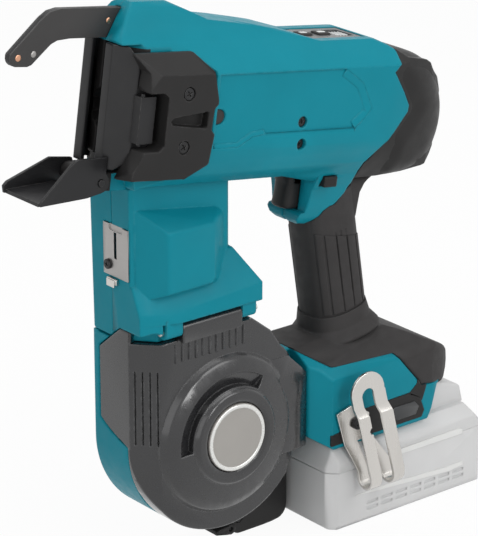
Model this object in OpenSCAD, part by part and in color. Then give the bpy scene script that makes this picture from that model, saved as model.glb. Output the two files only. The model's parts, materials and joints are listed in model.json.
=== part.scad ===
// Cordless rebar tying tool with a wire reel, curl guides, a twist drive and a slide-on battery.
// Frame: +X to the rear, -Y to the operator's left, +Z up, floor at Z = 0, origin under the battery.

/* [Barrel] */
// Distance from the origin forward to the nose face
nose_x = 205; // [200:1:210]
// Height of the barrel axis at the nose face
nose_z = 290; // [287:1:293]
// Nose-up tilt of the barrel in degrees
tilt = 8.25; // [7.75:0.25:8.75]
// Half width of the barrel
body_half = 34; // [33:0.5:36]
// Height of the crest above the barrel axis
crest = 61.5; // [61:0.5:64]
// Height of the control deck above the barrel axis
deck = 38.5; // [38:0.5:40]
// Depth of the belly below the barrel axis
belly = 40; // [38:0.5:41]
// Length of the barrel from nose face to tail
body_len = 256; // [254:1:260]

/* [Nose] */
// Half width of the slot between the contact plates
slot_half = 5.5; // [4.5:0.25:6]
// Thickness of a contact plate
plate_t = 3; // [2.4:0.2:3.4]
// Rearward travel of the contact plates
contact_travel = 3.5; // [2.5:0.5:3.5]
// Outer face of a side cover from the mid-plane
cover_out = 37; // [36:0.5:39]
// Outer face of the right side cover, which lies flatter
cover_out_r = 31.5; // [31:0.25:32]
// Thickness of the upper guide arm
arm_t = 4.8; // [4.6:0.1:5.2]
// Outer half width of the lower guide tray
tray_half = 17; // [16.5:0.25:18]
// Sheet thickness of the lower guide tray
tray_t = 2; // [1.6:0.1:2.2]
// Radius of the lower guide hinge pin
tray_pin_r = 2; // [1.6:0.1:2.4]

/* [Drive] */
// Outer radius of the motor stator
stator_r = 26; // [24:0.5:26.5]
// Radius of the motor rotor
rotor_r = 14; // [12:0.5:15]
// Radius of the motor shaft
shaft_r = 4; // [3.5:0.25:4.25]
// Module of the planetary gears
gear_m = 0.8; // [0.75:0.05:0.8]
// Teeth of the sun gear
sun_teeth = 12; // [12:3:12]
// Teeth of a planet gear
planet_teeth = 18; // [18:3:18]
// Face width of the planetary gears
gear_w = 12; // [9:1:14]
// Radius of the twister shaft
twist_r = 6; // [5:0.5:7]
// Outer radius of the twister head
head_r = 10.5; // [9:0.5:11]

/* [Neck and feed] */
// Front face of the neck, forward of the origin
neck_x = 193; // [191:0.5:194]
// Half width of the neck
neck_half = 18.5; // [18:0.25:19.5]
// Radius of the feed motor can
feed_r = 12.5; // [11:0.5:13]
// Module of the feed gears
feed_m = 0.9; // [0.85:0.05:0.95]
// Teeth of each feed gear
feed_teeth = 16; // [16:2:16]

/* [Reel and case] */
// Reel axis, forward of the origin
reel_x = 132; // [131:0.5:133]
// Height of the reel axis
reel_z = 84; // [83:0.5:86]
// Outer radius of the reel case
case_r = 61; // [60:0.5:61]
// Wall thickness of the reel case and cover
case_t = 2.5; // [2:0.25:3]
// Far face of the reel case
case_far = 20; // [19:0.5:22]
// Side wall of the reel cover from the mid-plane
cover_wall = 28; // [27.5:0.5:29]
// Height of the badge face from the mid-plane
badge_y = 38; // [37:0.5:39]
// Radius of the badge disc
badge_r = 21; // [18:0.5:22]
// Hinge axis of the reel cover from the mid-plane
hinge_y = 28; // [27.5:0.5:28.5]
// Height of the reel cover hinge axis
hinge_z = 158; // [157.5:0.25:158.5]
// Radius of the reel spindle
spindle_r = 9.9; // [8:0.1:10.5]
// Flange radius of the wire spool
spool_r = 46; // [44:0.5:47]
// Diameter of the tie wire
wire_d = 1.6; // [1.2:0.1:1.7]
// Turns in the outer wire layer
wire_turns = 14; // [8:1:14]

/* [Handle and base] */
// Half depth of the grip
grip_a = 20; // [18:0.5:21]
// Half width of the grip
grip_b = 17; // [15:0.5:17.5]
// Lean of the grip in degrees
grip_lean = 8.75; // [8:0.25:9.5]
// Half width of the base and the battery
base_half = 39; // [38:0.5:40]
// Travel of the trigger
trigger_travel = 6; // [4:0.5:6.5]

/* [Battery] */
// Front end of the battery, forward of the origin
batt_front = 59.5; // [58:0.5:60]
// Rear end of the battery
batt_rear = 68; // [67:0.5:69]
// Height of the battery shoulder
batt_top = 55; // [54:0.25:55]
// Wall thickness of the battery case
batt_t = 2.5; // [2:0.25:3]
// Radius of a battery cell
cell_r = 10.5; // [9.5:0.25:10.6]
// Half width of the rail neck
rail_half = 22; // [20:0.5:23]

/* [Belt hook] */
// Strip thickness of the belt hook
hook_t = 2; // [1.6:0.1:2.4]
// Outer face of the belt hook from the mid-plane
hook_out = 57; // [54:0.5:60]
// Width of the belt hook
hook_w = 27; // [25:0.5:29]

/* [Hidden] */
$fn = 48;
// Clearance of a running shaft, of a sliding fit and of a seated face
run = 0.08;
slide = 0.35;
seat = 0.05;
core_y = 20.9;
seat_y = 24.5;
wing_y = 24.2;
arm_half = arm_t / 2;
pivot = [-1.5, -38];
ring_teeth = sun_teeth + 2 * planet_teeth;
orbit = gear_m * (sun_teeth + planet_teeth) / 2;
bay_r = stator_r + 0.3;
ring_r = gear_m * ring_teeth / 2 + 3.6;
motor_u = body_len - 94;
gear_u = motor_u - 50;
feed_c = feed_m * feed_teeth;
feed_z = 203;
neck_rear = -119.5;
feed_x = -164;
latch_x = -122;
latch_z = 14.5;
lock_u = motor_u + 1;
lock_w = -46;
arm_top = 57.8;
hook_sx = -42;
hook_sz = 69.6;
spare_x = -50;
spare_z = 74;
bend_in = base_half + 6.5;
bend_y = (hook_out + bend_in - hook_t) / 2;
rail_top = 66;
lid_z = 38;
reach_r = 74;
screw_w = 15.2;
screw_u = 38.6;
bend_z = 35;

// Outline helpers
function flip(p) = [for (i = [len(p) - 1 : -1 : 0]) [p[i][0], -p[i][1]]];
function both(p) = concat(p, flip(p));
function mirror_x(p) = [for (i = [len(p) - 1 : -1 : 0]) [-p[i][0], p[i][1]]];
function twice(p) = concat(p, mirror_x(p));
function arc(c, r, a0, a1, n) = [for (i = [0 : n])
    c + r * [cos(a0 + (a1 - a0) * i / n), sin(a0 + (a1 - a0) * i / n)]];
function aft(p) = [for (q = p) [q[0] + motor_u, q[1]]];
function mid(f) = 66 + f * (motor_u - 66);
function sgn_pow(v, e) = sign(v) * pow(abs(v), e);
function oval(a, b, e, n) = [for (i = [0 : n - 1]) [a * sgn_pow(cos(360 * i / n), e),
    b * sgn_pow(sin(360 * i / n), e)]];

module in_barrel() {
    translate([-nose_x, 0, nose_z]) rotate([0, tilt, 0]) children();
}
module side_slab(p, y0, y1) {
    translate([0, y1, 0]) rotate([90, 0, 0]) linear_extrude(y1 - y0) polygon(p);
}
module plan_slab(p, z0, z1) {
    translate([0, 0, z0]) linear_extrude(z1 - z0) polygon(p);
}
module section_slab(p, x0, x1) {
    translate([x0, 0, 0]) rotate([90, 0, 90]) linear_extrude(x1 - x0) polygon(p);
}
module box(x0, x1, y0, y1, z0, z1) {
    translate([x0, y0, z0]) cube([x1 - x0, y1 - y0, z1 - z0]);
}
module rod_x(r, x0, x1) {
    translate([x0, 0, 0]) rotate([0, 90, 0]) cylinder(r = r, h = x1 - x0);
}
module rod_y(r, x, z, y0, y1) {
    translate([x, y0, z]) rotate([-90, 0, 0]) cylinder(r = r, h = y1 - y0);
}
module mirrored() {
    children();
    mirror([0, 1, 0]) children();
}
module left_only() {
    intersection() {
        children();
        box(-400, 400, -200, 0, -200, 500);
    }
}
module right_only() {
    intersection() {
        children();
        box(-400, 400, 0, 200, -200, 500);
    }
}

// Involute spur gear outline: pressure angle 20 degrees, flanks drawn with a small backlash
function inv_pt(rb, a) = [rb * (cos(a) + a * PI / 180 * sin(a)), rb * (sin(a) - a * PI / 180 * cos(a))];
function inv_angle(rb, r) = r <= rb ? 0 : sqrt(r * r / rb / rb - 1) * 180 / PI;
function polar(p) = [norm(p), atan2(p[1], p[0])];
function flank(rb, rp, ro, half) = [for (k = [0 : 4])
    let (r = max(rb, rp - (ro - rp)) + (ro - max(rb, rp - (ro - rp))) * k / 4,
         q = polar(inv_pt(rb, inv_angle(rb, r))), p0 = polar(inv_pt(rb, inv_angle(rb, rp))))
    [q[0], half - (q[1] - p0[1])]];
function gear_points(n, m, add, ded, lash) =
    let (rp = m * n / 2, rb = rp * cos(20), ro = rp + add * m, rf = rp - ded * m, half = 90 / n - lash,
         f = flank(rb, rp, ro, half), low = min(f[0][1], 180 / n - 0.4))
    [for (t = [0 : n - 1]) for (s = [0 : 11])
        let (base = 360 * t / n,
             q = s == 0 ? [rf, -low] : s <= 5 ? [f[s - 1][0], -f[s - 1][1]]
               : s <= 10 ? f[10 - s] : [rf, low])
        q[0] * [cos(base + q[1]), sin(base + q[1])]];

// Outlines of the barrel, in barrel axes; the aft points are measured from the front of the motor
body_side = concat(
    [[8.5, -27], [8.5, 40], [2, 40], [7, 51], [12, 59], [15, crest], [40, crest], [66, 51.5],
     [mid(0.2), 49.5], [mid(0.54), 45], [mid(0.83), deck]],
    aft([[26, deck], [34, deck - 3], [45.5, 28.8], [53, 28], [62, 26.6], [66.5, 24.5], [71.5, 20.5],
        [77.5, 14.5], [84, 6.5], [90, -2],
     [93, -9], [94, -14], [93, -20], [89, -26], [81.5, -34], [72.5, -40], [58, -43.5], [40, -45.5],
         [10, -46], [-12, -46],
     [-38, -belly]]),
    [[60, -belly], [22, -belly], [17, -42], [14, -27]]);
low_section = [[body_half, 25], [body_half, -20], [30, -33], [20, -47]];
body_section = twice(concat([[5, crest + 0.8], [9, crest - 2.5], [12.5, crest - 10.5], [16.5, deck + 4]],
    low_section));
body_plan = both(concat([[-1, 15], [1.5, 18.5], [6, 21], [58, body_half]],
    aft([[34, body_half], [52, 31.5], [74, 26], [85.5, 19], [91.5, 11], [94, 4]])));
chevron = concat([[-20, -90], [-20, 90]], aft([[38, 90], [38, 25.6], [33, 20.8],
    [43.4, 8.4],
    [49.5, -0.2], [49.2, -4], [38.5, -16], [28, -26.5], [22, -34.5], [22, -42], [21, -50], [21, -90]]));
// Shallow flat on each flank, with a sloped lower border
flank_flat = concat([[62, 24.5]], aft([[-6, 24.5], [8.6, 15.5], [18, 0], [15, -4], [7, -11], [-62, -11]]),
    [[90, -12.5], [80, -18], [62, -18]]);
cover_base = [[5, 37], [46, 37], [59, 26.5], [60, 9], [60, -10], [58, -26], [41, -34.5], [1, -33.5]];
cover_face = [[18, 26.5], [55.5, 27.2], [60, 11], [60, -10], [58, -26], [41, -34], [4, -32.5], [11, -15],
    [11, 12], [12.5, 20]];
cover_base_r = [[10.5, 37], [46, 37], [59, 26.5], [60, 9], [60, -10], [58, -26], [41, -34.5],
    [10.5, -33.5]];
cover_face_r = [[17, 26.5], [55.5, 27.2], [60, 11], [60, -10], [58, -26], [41, -34], [17, -30]];
cover_front = [[-20, 40], [4.6, 40], [4.6, 36.6], [12.3, 27], [11.5, 20], [10, -19], [0, -34.5],
    [-20, -37]];
guard_side = aft([[-8, -34], [-8, -66.8], [-10.5, -67.3], [-12, -69], [-11.6, -72.2], [-8.5, -75],
    [-2.5, -75.6], [3, -73],
    [12, -65], [19.5, -56], [22, -49], [22.5, -34]]);

module body_env() {
    in_barrel() difference() {
        intersection() {
            side_slab(body_side, -60, 60);
            section_slab(body_section, -20, body_len + 10);
            plan_slab(body_plan, -90, 90);
        }
        mirrored() {
            side_slab(flank_flat, body_half - 1.2, 60);
            section_slab([[body_half - 1.2, -11.1], [body_half + 0.1, -14], [body_half + 0.1, -11]],
                motor_u - 62, motor_u + 6.5);
        }
    }
}
module guard_env() {
    in_barrel() intersection() {
        side_slab(guard_side, -30, 30);
        section_slab(twice([[27, -30], [23, -44], [19, -52], [17, -62], [14, -70],
            [9, -77]]), motor_u - 20, motor_u + 30);
    }
}
module neck_env() {
    intersection() {
        side_slab([[-neck_x, 140], [-neck_x, 244], [-184, 252], [-108, 250], [-109, 240],
            [neck_rear, 229], [neck_rear, 140]], -40, 40);
        plan_slab([[-neck_x, 30], [-neck_x, -neck_half + 2], [-neck_x + 2, -neck_half],
            [neck_rear - 4, -neck_half],
            [neck_rear, -neck_half + 4], [neck_rear, 30]], 151, 260);
        section_slab([[-13, 140], [neck_half + 0.4, 140], [neck_half + 3.1, 260], [-30, 260], [-30, 170],
            [-13, 170]], -200, -100);
    }
    plan_slab([[-188, neck_half], [-188, -13], [-179, -23.5], [-111, -23.5], [-111, neck_half]],
        151.5, 166);
    plan_slab([[-neck_x, 10], [-neck_x, -25.5], [-180, -30.4], [-180, 10]], 158.6, 166);
}
module bulge_env() {
    hull() {
        side_slab([[-178, 183], [-178, 219.5], [-145.5, 219], [-145, 186], [-148, 183]], -34, -33);
        side_slab([[-191.5, 176], [-191.5, 233], [-132, 223], [-125, 219], [-124, 214], [-124, 176]],
            -17, -16);
    }
}
module shoulder_env() {
    hull() {
        plan_slab([[-neck_x, neck_half], [-neck_x, -25.5], [-172, -34], [-109, -34], [-109, neck_half]],
            164, 171);
        side_slab([[-neck_x, 164], [-neck_x, 186], [neck_rear, 195], [-109, 175], [-109, 164]],
            -neck_half, neck_half);
        side_slab([[-172, 165], [-172, 171], [-109, 175], [-109, 165]], -34, -33);
    }
}
// Lugs that carry the lower guide pin, and the hinge knuckles of the reel cover
module pivot_lugs() {
    in_barrel() mirrored() difference() {
        union() {
            rod_y(5.3, pivot[0], pivot[1], 5, tray_half - tray_t - slide);
            side_slab([[pivot[0] - 1, pivot[1] + 5.2], [pivot[0] - 1, pivot[1] - 5.2], [24, -44],
                [24, -32.8]], 5, tray_half - tray_t - slide);
        }
        rod_y(tray_pin_r + run, pivot[0], pivot[1], 0, 30);
    }
}
module hinge_knuckle(x0, x1, drop) {
    difference() {
        union() {
            translate([0, -hinge_y, hinge_z]) rod_x(4, x0, x1);
            box(x0, x1, -hinge_y - 4, -hinge_y + 4, drop < 0 ? hinge_z + drop : hinge_z,
                drop < 0 ? hinge_z : hinge_z + drop);
        }
        translate([0, -hinge_y, hinge_z]) rod_x(1.5 + run, x0 - 1, x1 + 1);
    }
}
// Hollows shared by both housing halves
module housing_hollow() {
    in_barrel() {
        rod_x(bay_r, motor_u - 12, motor_u + 120);
        rod_x(ring_r + seat, gear_u - 16, motor_u - 11);
        rod_x(head_r + 2, 4, 60);
        rod_x(twist_r + run, 59, gear_u - 14);
        box(-2, 27, -slot_half, slot_half, -45, 39);
        box(-2, 31, -arm_half - seat, arm_half + seat, 38, arm_top + 0.2);
        box(motor_u - 26, motor_u + 21, -15, 15, bay_r + 1, deck - 2.9);
        panel_seat();
        box(motor_u - 0.8, motor_u + 12.2, -8.5, 8.5, -60.1, -50.7);
        lock_slot();
        box(motor_u - 32, motor_u - 7 + trigger_travel + slide, -8 - slide, 8 + slide, -66.75, -42);
        mirrored() {
            side_slab([[-30, 40], [34, 40], [34, -36], [-30, -36]], core_y, 60);
            side_slab([[-30, 40], [4, 37.2], [46.1, 37.2], [59.2, 26.6], [60.2, 9], [60.2, -10],
                [58.2, -26.1],
                [41.2, -34.7], [-30, -34.7]], seat_y, 60);
            plan_slab([[-10, 8], [8.3, 8], [8.3, 11], [18, core_y], [18, 60], [-10, 60]], -31.5, 40);
            for (s = [-1, 1]) rod_y(1.7, screw_u, s * screw_w, 12, 60);
            side_slab(concat([[62, -4.5], [62, 4.5]], arc([65, 0], 4.5, 90, -90, 8)), body_half - 3, 60);
            for (w = [-6, -19]) rod_y(3.4, motor_u - 34, w, body_half - 5, 60);
            for (w = [-6, -19]) rod_y(1.5, motor_u - 34, w, 23, 60);
        }
    }
    box(-neck_x + 5.5, -140, -14, 14.5, 176, 226);
    rod_y(feed_r + 0.3, feed_x, feed_z, -31, -8);
    box(-neck_x - 1, -neck_x + 1.6, -16.2, 7, 189, 220.1);
    box(-neck_x - 1, -neck_x + 14, -5.6, -3, 200, 216);
    box(-neck_x + 8, -neck_x + 20, -5.6, -3, 190, 256);
    section_slab([[14.3, 130], [14.3, 142], [-6, 158.5], [-60, 158.5], [-60, 130]], -196, -neck_x + 4);
}
// Pocket of the control panel and slot of the trigger lock
module panel_seat() {
    box(motor_u - 26, motor_u + 24, -13.6, 13.6, deck - 3, deck + 9);
}
module lock_slot() {
    box(lock_u - 5 - slide, lock_u + 5 + slide, -30, 30, lock_w - 3.3 - slide, lock_w + 3.3 + slide);
}
module teal_env() {
    difference() {
        union() {
            intersection() {
                body_env();
                in_barrel() side_slab(chevron, -70, 70);
            }
            guard_env();
            neck_env();
            bulge_env();
            shoulder_env();
            pivot_lugs();
            hinge_knuckle(-178.5, -167, 8);
            hinge_knuckle(-123, -113, 8);
        }
        housing_hollow();
        translate([0, -hinge_y, hinge_z]) rod_x(1.5 + run, -190, -105);
    }
}
module left_housing() {
    color("teal") left_only() teal_env();
}
module right_housing() {
    color("teal") right_only() teal_env();
}
module housing_screws() {
    color("dimgray") in_barrel() mirrored() {
        for (w = [-6, -19]) {
            rod_y(3.2, motor_u - 34, w, body_half - 4.9, body_half - 2.4);
            rod_y(1.4, motor_u - 34, w, 23.5, body_half - 4.8);
        }
    }
    color("dimgray") in_barrel() for (s = [-1, 1]) {
        rod_y(3.6, screw_u, s * screw_w, -cover_out + 0.4, -cover_out + 2.4);
        rod_y(1.6, screw_u, s * screw_w, -cover_out + 2.3, -13);
        rod_y(3.6, screw_u, s * screw_w, cover_out_r - 2.4, cover_out_r - 0.4);
        rod_y(1.6, screw_u, s * screw_w, 13, cover_out_r - 2.3);
    }
}
module rear_cover() {
    color("#3c3a3a") difference() {
        body_env();
        in_barrel() {
            side_slab(chevron, -70, 70);
            rod_x(bay_r, motor_u - 12, motor_u + 45);
            rod_x(21, motor_u + 44, motor_u + 57.5);
            rod_x(12, motor_u + 57, motor_u + 72);
            panel_seat();
            lock_slot();
        }
        guard_env();
    }
}

// Nose pieces
module side_cover_shape(base, face, out) {
    difference() {
        hull() {
            side_slab(base, seat_y + seat, seat_y + 2);
            side_slab(face, out - 0.5, out);
        }
        side_slab(cover_front, 20, 45);
        side_slab([[61, 9.5], [57.5, 6], [57.5, -6.5], [61, -10]], 20, 45);
        side_slab([[4, 16.5], [21, 16.5], [24.5, 14], [24.5, -14], [21, -16.5], [4, -16.5]], 20, 45);
        side_slab([[27, 0], [29, -2], [36, -3], [52, -4.8], [54, -4], [54, 4], [52, 4.6], [36, 3],
            [29, 2]], max(out - 6, seat_y + 2.5), 45);
        for (s = [-1, 1]) {
            rod_y(1.7, screw_u, s * screw_w, 20, 45);
            rod_y(3.9, screw_u, s * screw_w, out - 2.4, 45);
        }
    }
}
module side_cover_left() {
    color("#3c3a3a") in_barrel() mirror([0, 1, 0]) side_cover_shape(cover_base, cover_face, cover_out);
}
module side_cover_right() {
    color("#3c3a3a") in_barrel() side_cover_shape(cover_base_r, cover_face_r, cover_out_r);
}
module contact_plate_shape() {
    intersection() {
        plan_slab([[0, slot_half + 0.6], [0, 13], [11, wing_y], [25, wing_y], [25, wing_y - 2.6],
            [12.2, wing_y - 2.6], [plate_t, 12], [plate_t, slot_half + 0.6]], -31, 39.4);
        side_slab([[-2, 39.4], [7, 39.4], [14, 27], [25, 16], [25, -16], [13, -22], [5, -31], [-2, -31]],
            0, 40);
    }
}
module contact_arm_shape(u0, y1) {
    difference() {
        side_slab([[u0, 13.3], [20, 13.3], [20, -13.3], [u0, -13.3]], wing_y + 0.02, y1);
        translate([u0 + 2.5, y1 - 2, -20]) cylinder(r = 1.3, h = 40);
    }
    translate([u0 + 2.5, y1 - 2, -14.8]) cylinder(r = 1.25, h = 29.6);
}
module contact_plate_left() {
    color("#4a4848") in_barrel() mirror([0, 1, 0]) contact_plate_shape();
}
module contact_plate_right() {
    color("#4a4848") in_barrel() contact_plate_shape();
}
module contact_arms() {
    color("#444242") in_barrel() {
        mirror([0, 1, 0]) contact_arm_shape(9.5, 31);
        contact_arm_shape(13, 28);
    }
}
arm_side = concat([[30, arm_top], [-31, arm_top], [-36.5, arm_top - 1.3], [-40.4, 53.6], [-60.1, 33.6]],
    arc([-55.8, 31.4], 5, 155, 262, 6), [[-48.5, 26.2], [-46.2, 27], [-34.4, 38.2], [-30, 40.2],
        [-22, 41.2], [30, 41.2]]);
arm_holes = [[-55.1, 31.4], [-45, 33.1], [14, 50.7], [25, 50.7]];
cheek = 1.2;
module upper_guide_core() {
    color("#2e2c2c") in_barrel() difference() {
        side_slab(arm_side, -arm_half + cheek, arm_half - cheek);
        for (p = arm_holes) rod_y(1.6, p[0], p[1], -20, 20);
    }
}
module upper_guide_cheeks() {
    color("#3c3a3a") in_barrel() mirrored() difference() {
        side_slab(arm_side, arm_half - cheek, arm_half);
        for (p = concat(arm_holes, [[3.5, 50.7]])) rod_y(1.6, p[0], p[1], -20, 20);
    }
}
module upper_guide_rivets() {
    color("#b87333") in_barrel() for (p = arm_holes) rod_y(1.55, p[0], p[1], -arm_half, arm_half);
    color("#b87333") in_barrel() mirrored() rod_y(1.55, 3.5, 50.7, arm_half - cheek, arm_half);
}
tray_rear = concat([[1.4, -32]], arc(pivot, 6, 50, -80, 8), [[-9, -46]]);
tray_wall = concat([[-41.5, -49], [-41.2, -46.6], [-22.1, -25.8], [-18.4, -23.6], [1.2, -23.4]], tray_rear);
tray_wall_r = concat([[-43.5, -49.2], [-44.5, -45], [-42.5, -42.8], [-14.2, -30.3], [1.2, -31.2]],
    tray_rear);
module lower_guide() {
    color("#1e1e1e") in_barrel() difference() {
        union() {
            side_slab(tray_wall, -tray_half, -tray_half + tray_t);
            side_slab(tray_wall_r, tray_half - tray_t, tray_half);
            side_slab([[-42.5, -49.1], [-42.5, -49.1 + tray_t], [-8, -46 + tray_t], [-8, -46]],
                -tray_half + 1, tray_half - 1);
        }
        rod_y(tray_pin_r + run, pivot[0], pivot[1], -30, 30);
    }
}
module lower_guide_pin() {
    color("silver") in_barrel() {
        rod_y(tray_pin_r, pivot[0], pivot[1], -tray_half - 0.6, tray_half + 0.6);
    }
}

// Twist drive
module motor_stator() {
    color("#8a8a8a") in_barrel() difference() {
        rod_x(stator_r, motor_u, motor_u + 42);
        rod_x(rotor_r + 0.5, motor_u - 1, motor_u + 43);
        for (a = [0 : 60 : 359]) rotate([a, 0, 0])
            box(motor_u - 1, motor_u + 43, -3.2, 3.2, rotor_r + 3, stator_r - 4);
    }
}
module motor_rotor() {
    color("#b5b5b5") in_barrel() union() {
        rod_x(rotor_r, motor_u + 1, motor_u + 41);
        rod_x(shaft_r, gear_u + gear_w + 3, motor_u + 70);
        rod_x(1.8, gear_u, gear_u + gear_w + 4);
    }
}
module cooling_fan() {
    color("#222222") in_barrel() difference() {
        union() {
            rod_x(7, motor_u + 46, motor_u + 56);
            rod_x(20, motor_u + 46, motor_u + 48);
            for (a = [0 : 40 : 359]) rotate([a, 0, 0]) box(motor_u + 47, motor_u + 56, -0.8, 0.8, 6.5, 20);
        }
        rod_x(shaft_r, motor_u + 45, motor_u + 57);
    }
}
module motor_end_bells() {
    color("#5a5a5a") in_barrel() for (k = [0, 1]) translate([motor_u - 11.8 + k * 74.8, 0, 0])
        difference() {
        rod_x(k == 1 ? 12 - seat : bay_r - seat, 0, 6);
        rod_x(shaft_r + run, -1, 8);
    }
}
module sun_gear() {
    color("goldenrod") in_barrel() translate([gear_u, 0, 0]) rotate([0, 90, 0]) difference() {
        linear_extrude(gear_w + 2.9) polygon(gear_points(sun_teeth, gear_m, 0.85, 1.2, 1));
        translate([0, 0, -1]) cylinder(r = 1.8 + 0.02, h = gear_w + 5);
    }
}
module planet_shape() {
    difference() {
        linear_extrude(gear_w) polygon(gear_points(planet_teeth, gear_m, 0.8, 1.2, 0.7));
        translate([0, 0, -1]) cylinder(r = 2.5 + run, h = gear_w + 2);
    }
}
// Each planet is turned so that its tooth gap meets a sun tooth
module planet_at(a) {
    in_barrel() translate([gear_u + 0.5, 0, 0]) rotate([0, 90, 0]) rotate([0, 0, a])
        translate([orbit, 0, 0])
        rotate([0, 0, 180 / planet_teeth]) planet_shape();
}
module planet_gear_1() {
    color("gold") planet_at(0);
}
module planet_gear_2() {
    color("gold") planet_at(120);
}
module planet_gear_3() {
    color("gold") planet_at(240);
}
module ring_gear() {
    color("#777777") in_barrel() difference() {
        rod_x(ring_r, gear_u - 1, gear_u + gear_w + 14);
        translate([gear_u - 2, 0, 0]) rotate([0, 90, 0]) rotate([0, 0, 180 / ring_teeth])
            linear_extrude(gear_w + 30) polygon(gear_points(ring_teeth, gear_m, 1.1, 0.8, -0.35));
    }
}
// Carrier plate with its planet pins and the output shaft to the twister head
module planet_carrier() {
    color("#999999") in_barrel() union() {
        rod_x(orbit + 3.5, gear_u - 7, gear_u - 1.5);
        for (a = [0, 120, 240]) rotate([a, 0, 0]) translate([0, 0, -orbit])
            rod_x(2.5, gear_u - 2, gear_u + gear_w + 1);
        rod_x(twist_r, 26, gear_u - 6);
    }
}
module twister_head() {
    color("#a8a8a8") in_barrel() union() {
        difference() {
            rod_x(head_r - 2, 26, 44);
            rod_x(twist_r, 25, 45);
        }
        for (a = [0, 180]) rotate([a, 0, 0]) side_slab([[12.5, 2], [14, 1.5], [20, 4.5], [27, 6.4],
            [27, 8], [17, 7.5], [12.5, 4.5]], -2.4, 2.4);
        rod_x(4.2, 18, 26);
    }
}

// Neck and wire feed
module wire_guide_plate() {
    color("silver") difference() {
        box(-neck_x - 0.8, -neck_x + 1.55, -16.1, 6.9, 189.1, 220);
        box(-neck_x - 2, -neck_x + 3, -5.6, -3, 200, 216);
        box(-neck_x - 2, -neck_x, -10.8, 1.7, 216.5, 230);
        translate([0, 2.2, 195.5]) rod_x(1.6, -neck_x - 2, -neck_x + 3);
    }
}
// Screws of the guide plate, the case foot and the belt hook
module fitting_screws() {
    color("dimgray") {
        translate([0, 2.2, 195.5]) rod_x(3, -neck_x - 2.4, -neck_x - 0.8);
        translate([0, 2.2, 195.5]) rod_x(1.55, -neck_x - 0.9, -neck_x + 1.5);
        rod_y(3, -102.5, 10, -2.6, -0.6);
        rod_y(1.4, -102.5, 10, -0.7, 11);
        rod_y(3.6, hook_sx, hook_sz, -base_half - hook_t - 3, -base_half - hook_t - 0.6);
        rod_y(2 - seat, hook_sx, hook_sz, -base_half - hook_t - 0.7, -27);
    }
}
module sight_window() {
    color("#c8ccd0") union() {
        box(-neck_x - 2.2, -neck_x, -6.6, 2.6, 184.6, 188);
        box(-neck_x - 3.2, -neck_x - 2.1, -5.6, 1.6, 183.2, 187.6);
    }
}
module feed_motor() {
    color("#9a9a9a") difference() {
        union() {
            rod_y(feed_r, feed_x, feed_z, -30.8, -13.6);
            rod_y(5, feed_x, feed_z, -13.7, -12.2);
        }
        rod_y(2.5 + run, feed_x, feed_z, -20, -10);
    }
}
module feed_gear_shape(turn) {
    rotate([-90, 0, 0]) rotate([0, 0, turn]) linear_extrude(9)
        polygon(gear_points(feed_teeth, feed_m, 0.85, 1.2, 0.7));
}
module feed_drive_gear() {
    color("goldenrod") union() {
        translate([feed_x, -11.5, feed_z]) feed_gear_shape(0);
        rod_y(2.5, feed_x, feed_z, -19, 1);
    }
}
module feed_idler_gear() {
    color("goldenrod") difference() {
        translate([feed_x - feed_c, -11.5, feed_z]) feed_gear_shape(180 / feed_teeth);
        rod_y(2.5 + run, feed_x - feed_c, feed_z, -13, 0);
    }
}
module feed_bracket() {
    color("#6a6a6a") difference() {
        union() {
            box(feed_x - feed_c - 7, feed_x + 9, -1.8, 1.5, feed_z - 9, feed_z + 9);
            box(feed_x - 12, feed_x + 6, 1.4, 14.45, feed_z - 6, feed_z + 6);
            rod_y(2.5, feed_x - feed_c, feed_z, -12, -1.7);
        }
        rod_y(2.5 + run, feed_x, feed_z, -3, 1.3);
    }
}

// Reel case, reel and cover
module case_env(d, y0, y1) {
    intersection() {
        union() {
            rod_y(case_r - d, -reel_x, reel_z, y0, y1);
            side_slab([[-neck_x + d, reel_z], [-neck_x + d, 151 - d], [-112 - d * 0.3, 151 - d],
                [-98 - d * 0.9, 140 - d * 0.5], [-79 - d, 112 - d * 0.3],
                [-reel_x + case_r - d, reel_z]], y0, y1);
        }
        plan_slab([[-neck_x + d, case_far + 10], [-neck_x + d, -14 + d * 0.4],
            [-180 + d * 0.4, -cover_wall + d], [-86 - d * 0.4, -cover_wall + d],
            [-reel_x + case_r - d, -20 + d * 0.6], [-reel_x + case_r - d, case_far + 10]], 0, 200);
    }
}
// Zone at the front that the cover lip sweeps, a round about the hinge line
module lip_zone(grow) {
    intersection() {
        translate([0, -hinge_y, hinge_z]) rod_x(reach_r + grow, -neck_x - 1, -neck_x + case_t + 0.6 + grow);
        section_slab([[14 + grow, 80], [14 + grow, 141.5 + grow], [-6 + grow, 158 + grow],
            [-14.5, 158 + grow], [-14.5, 70], [0, 70]], -neck_x - 1, -neck_x + 6);
    }
}
module reel_case() {
    color("teal") difference() {
        case_env(0, -12.5, case_far);
        difference() {
            case_env(case_t, -13, case_far - 3);
            rod_y(14, -reel_x, reel_z, case_far - 6, case_far);
        }
        lip_zone(0.4);
        rod_y(spindle_r + seat, -reel_x, reel_z, 0, case_far - 2);
        box(-neck_x - 2, -neck_x + 4, -40, 14.4, 150, 170);
    }
}
module reel_spindle() {
    color("#d0d0d0") rod_y(spindle_r, -reel_x, reel_z, -22, case_far - 2.1);
}
module wire_spool() {
    color("#2b2b2b") difference() {
        union() {
            rod_y(20, -reel_x, reel_z, -23.5, 13);
            rod_y(spool_r, -reel_x, reel_z, -23.5, -21.5);
            rod_y(spool_r, -reel_x, reel_z, 11, 13);
        }
        rod_y(spindle_r + run, -reel_x, reel_z, -30, 20);
        for (a = [0 : 60 : 359]) rotate([0, 0, 0]) translate([-reel_x, 0, reel_z]) rotate([0, a, 0])
            rod_y(6.5, 33, 0, -30, 30);
    }
}
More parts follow.
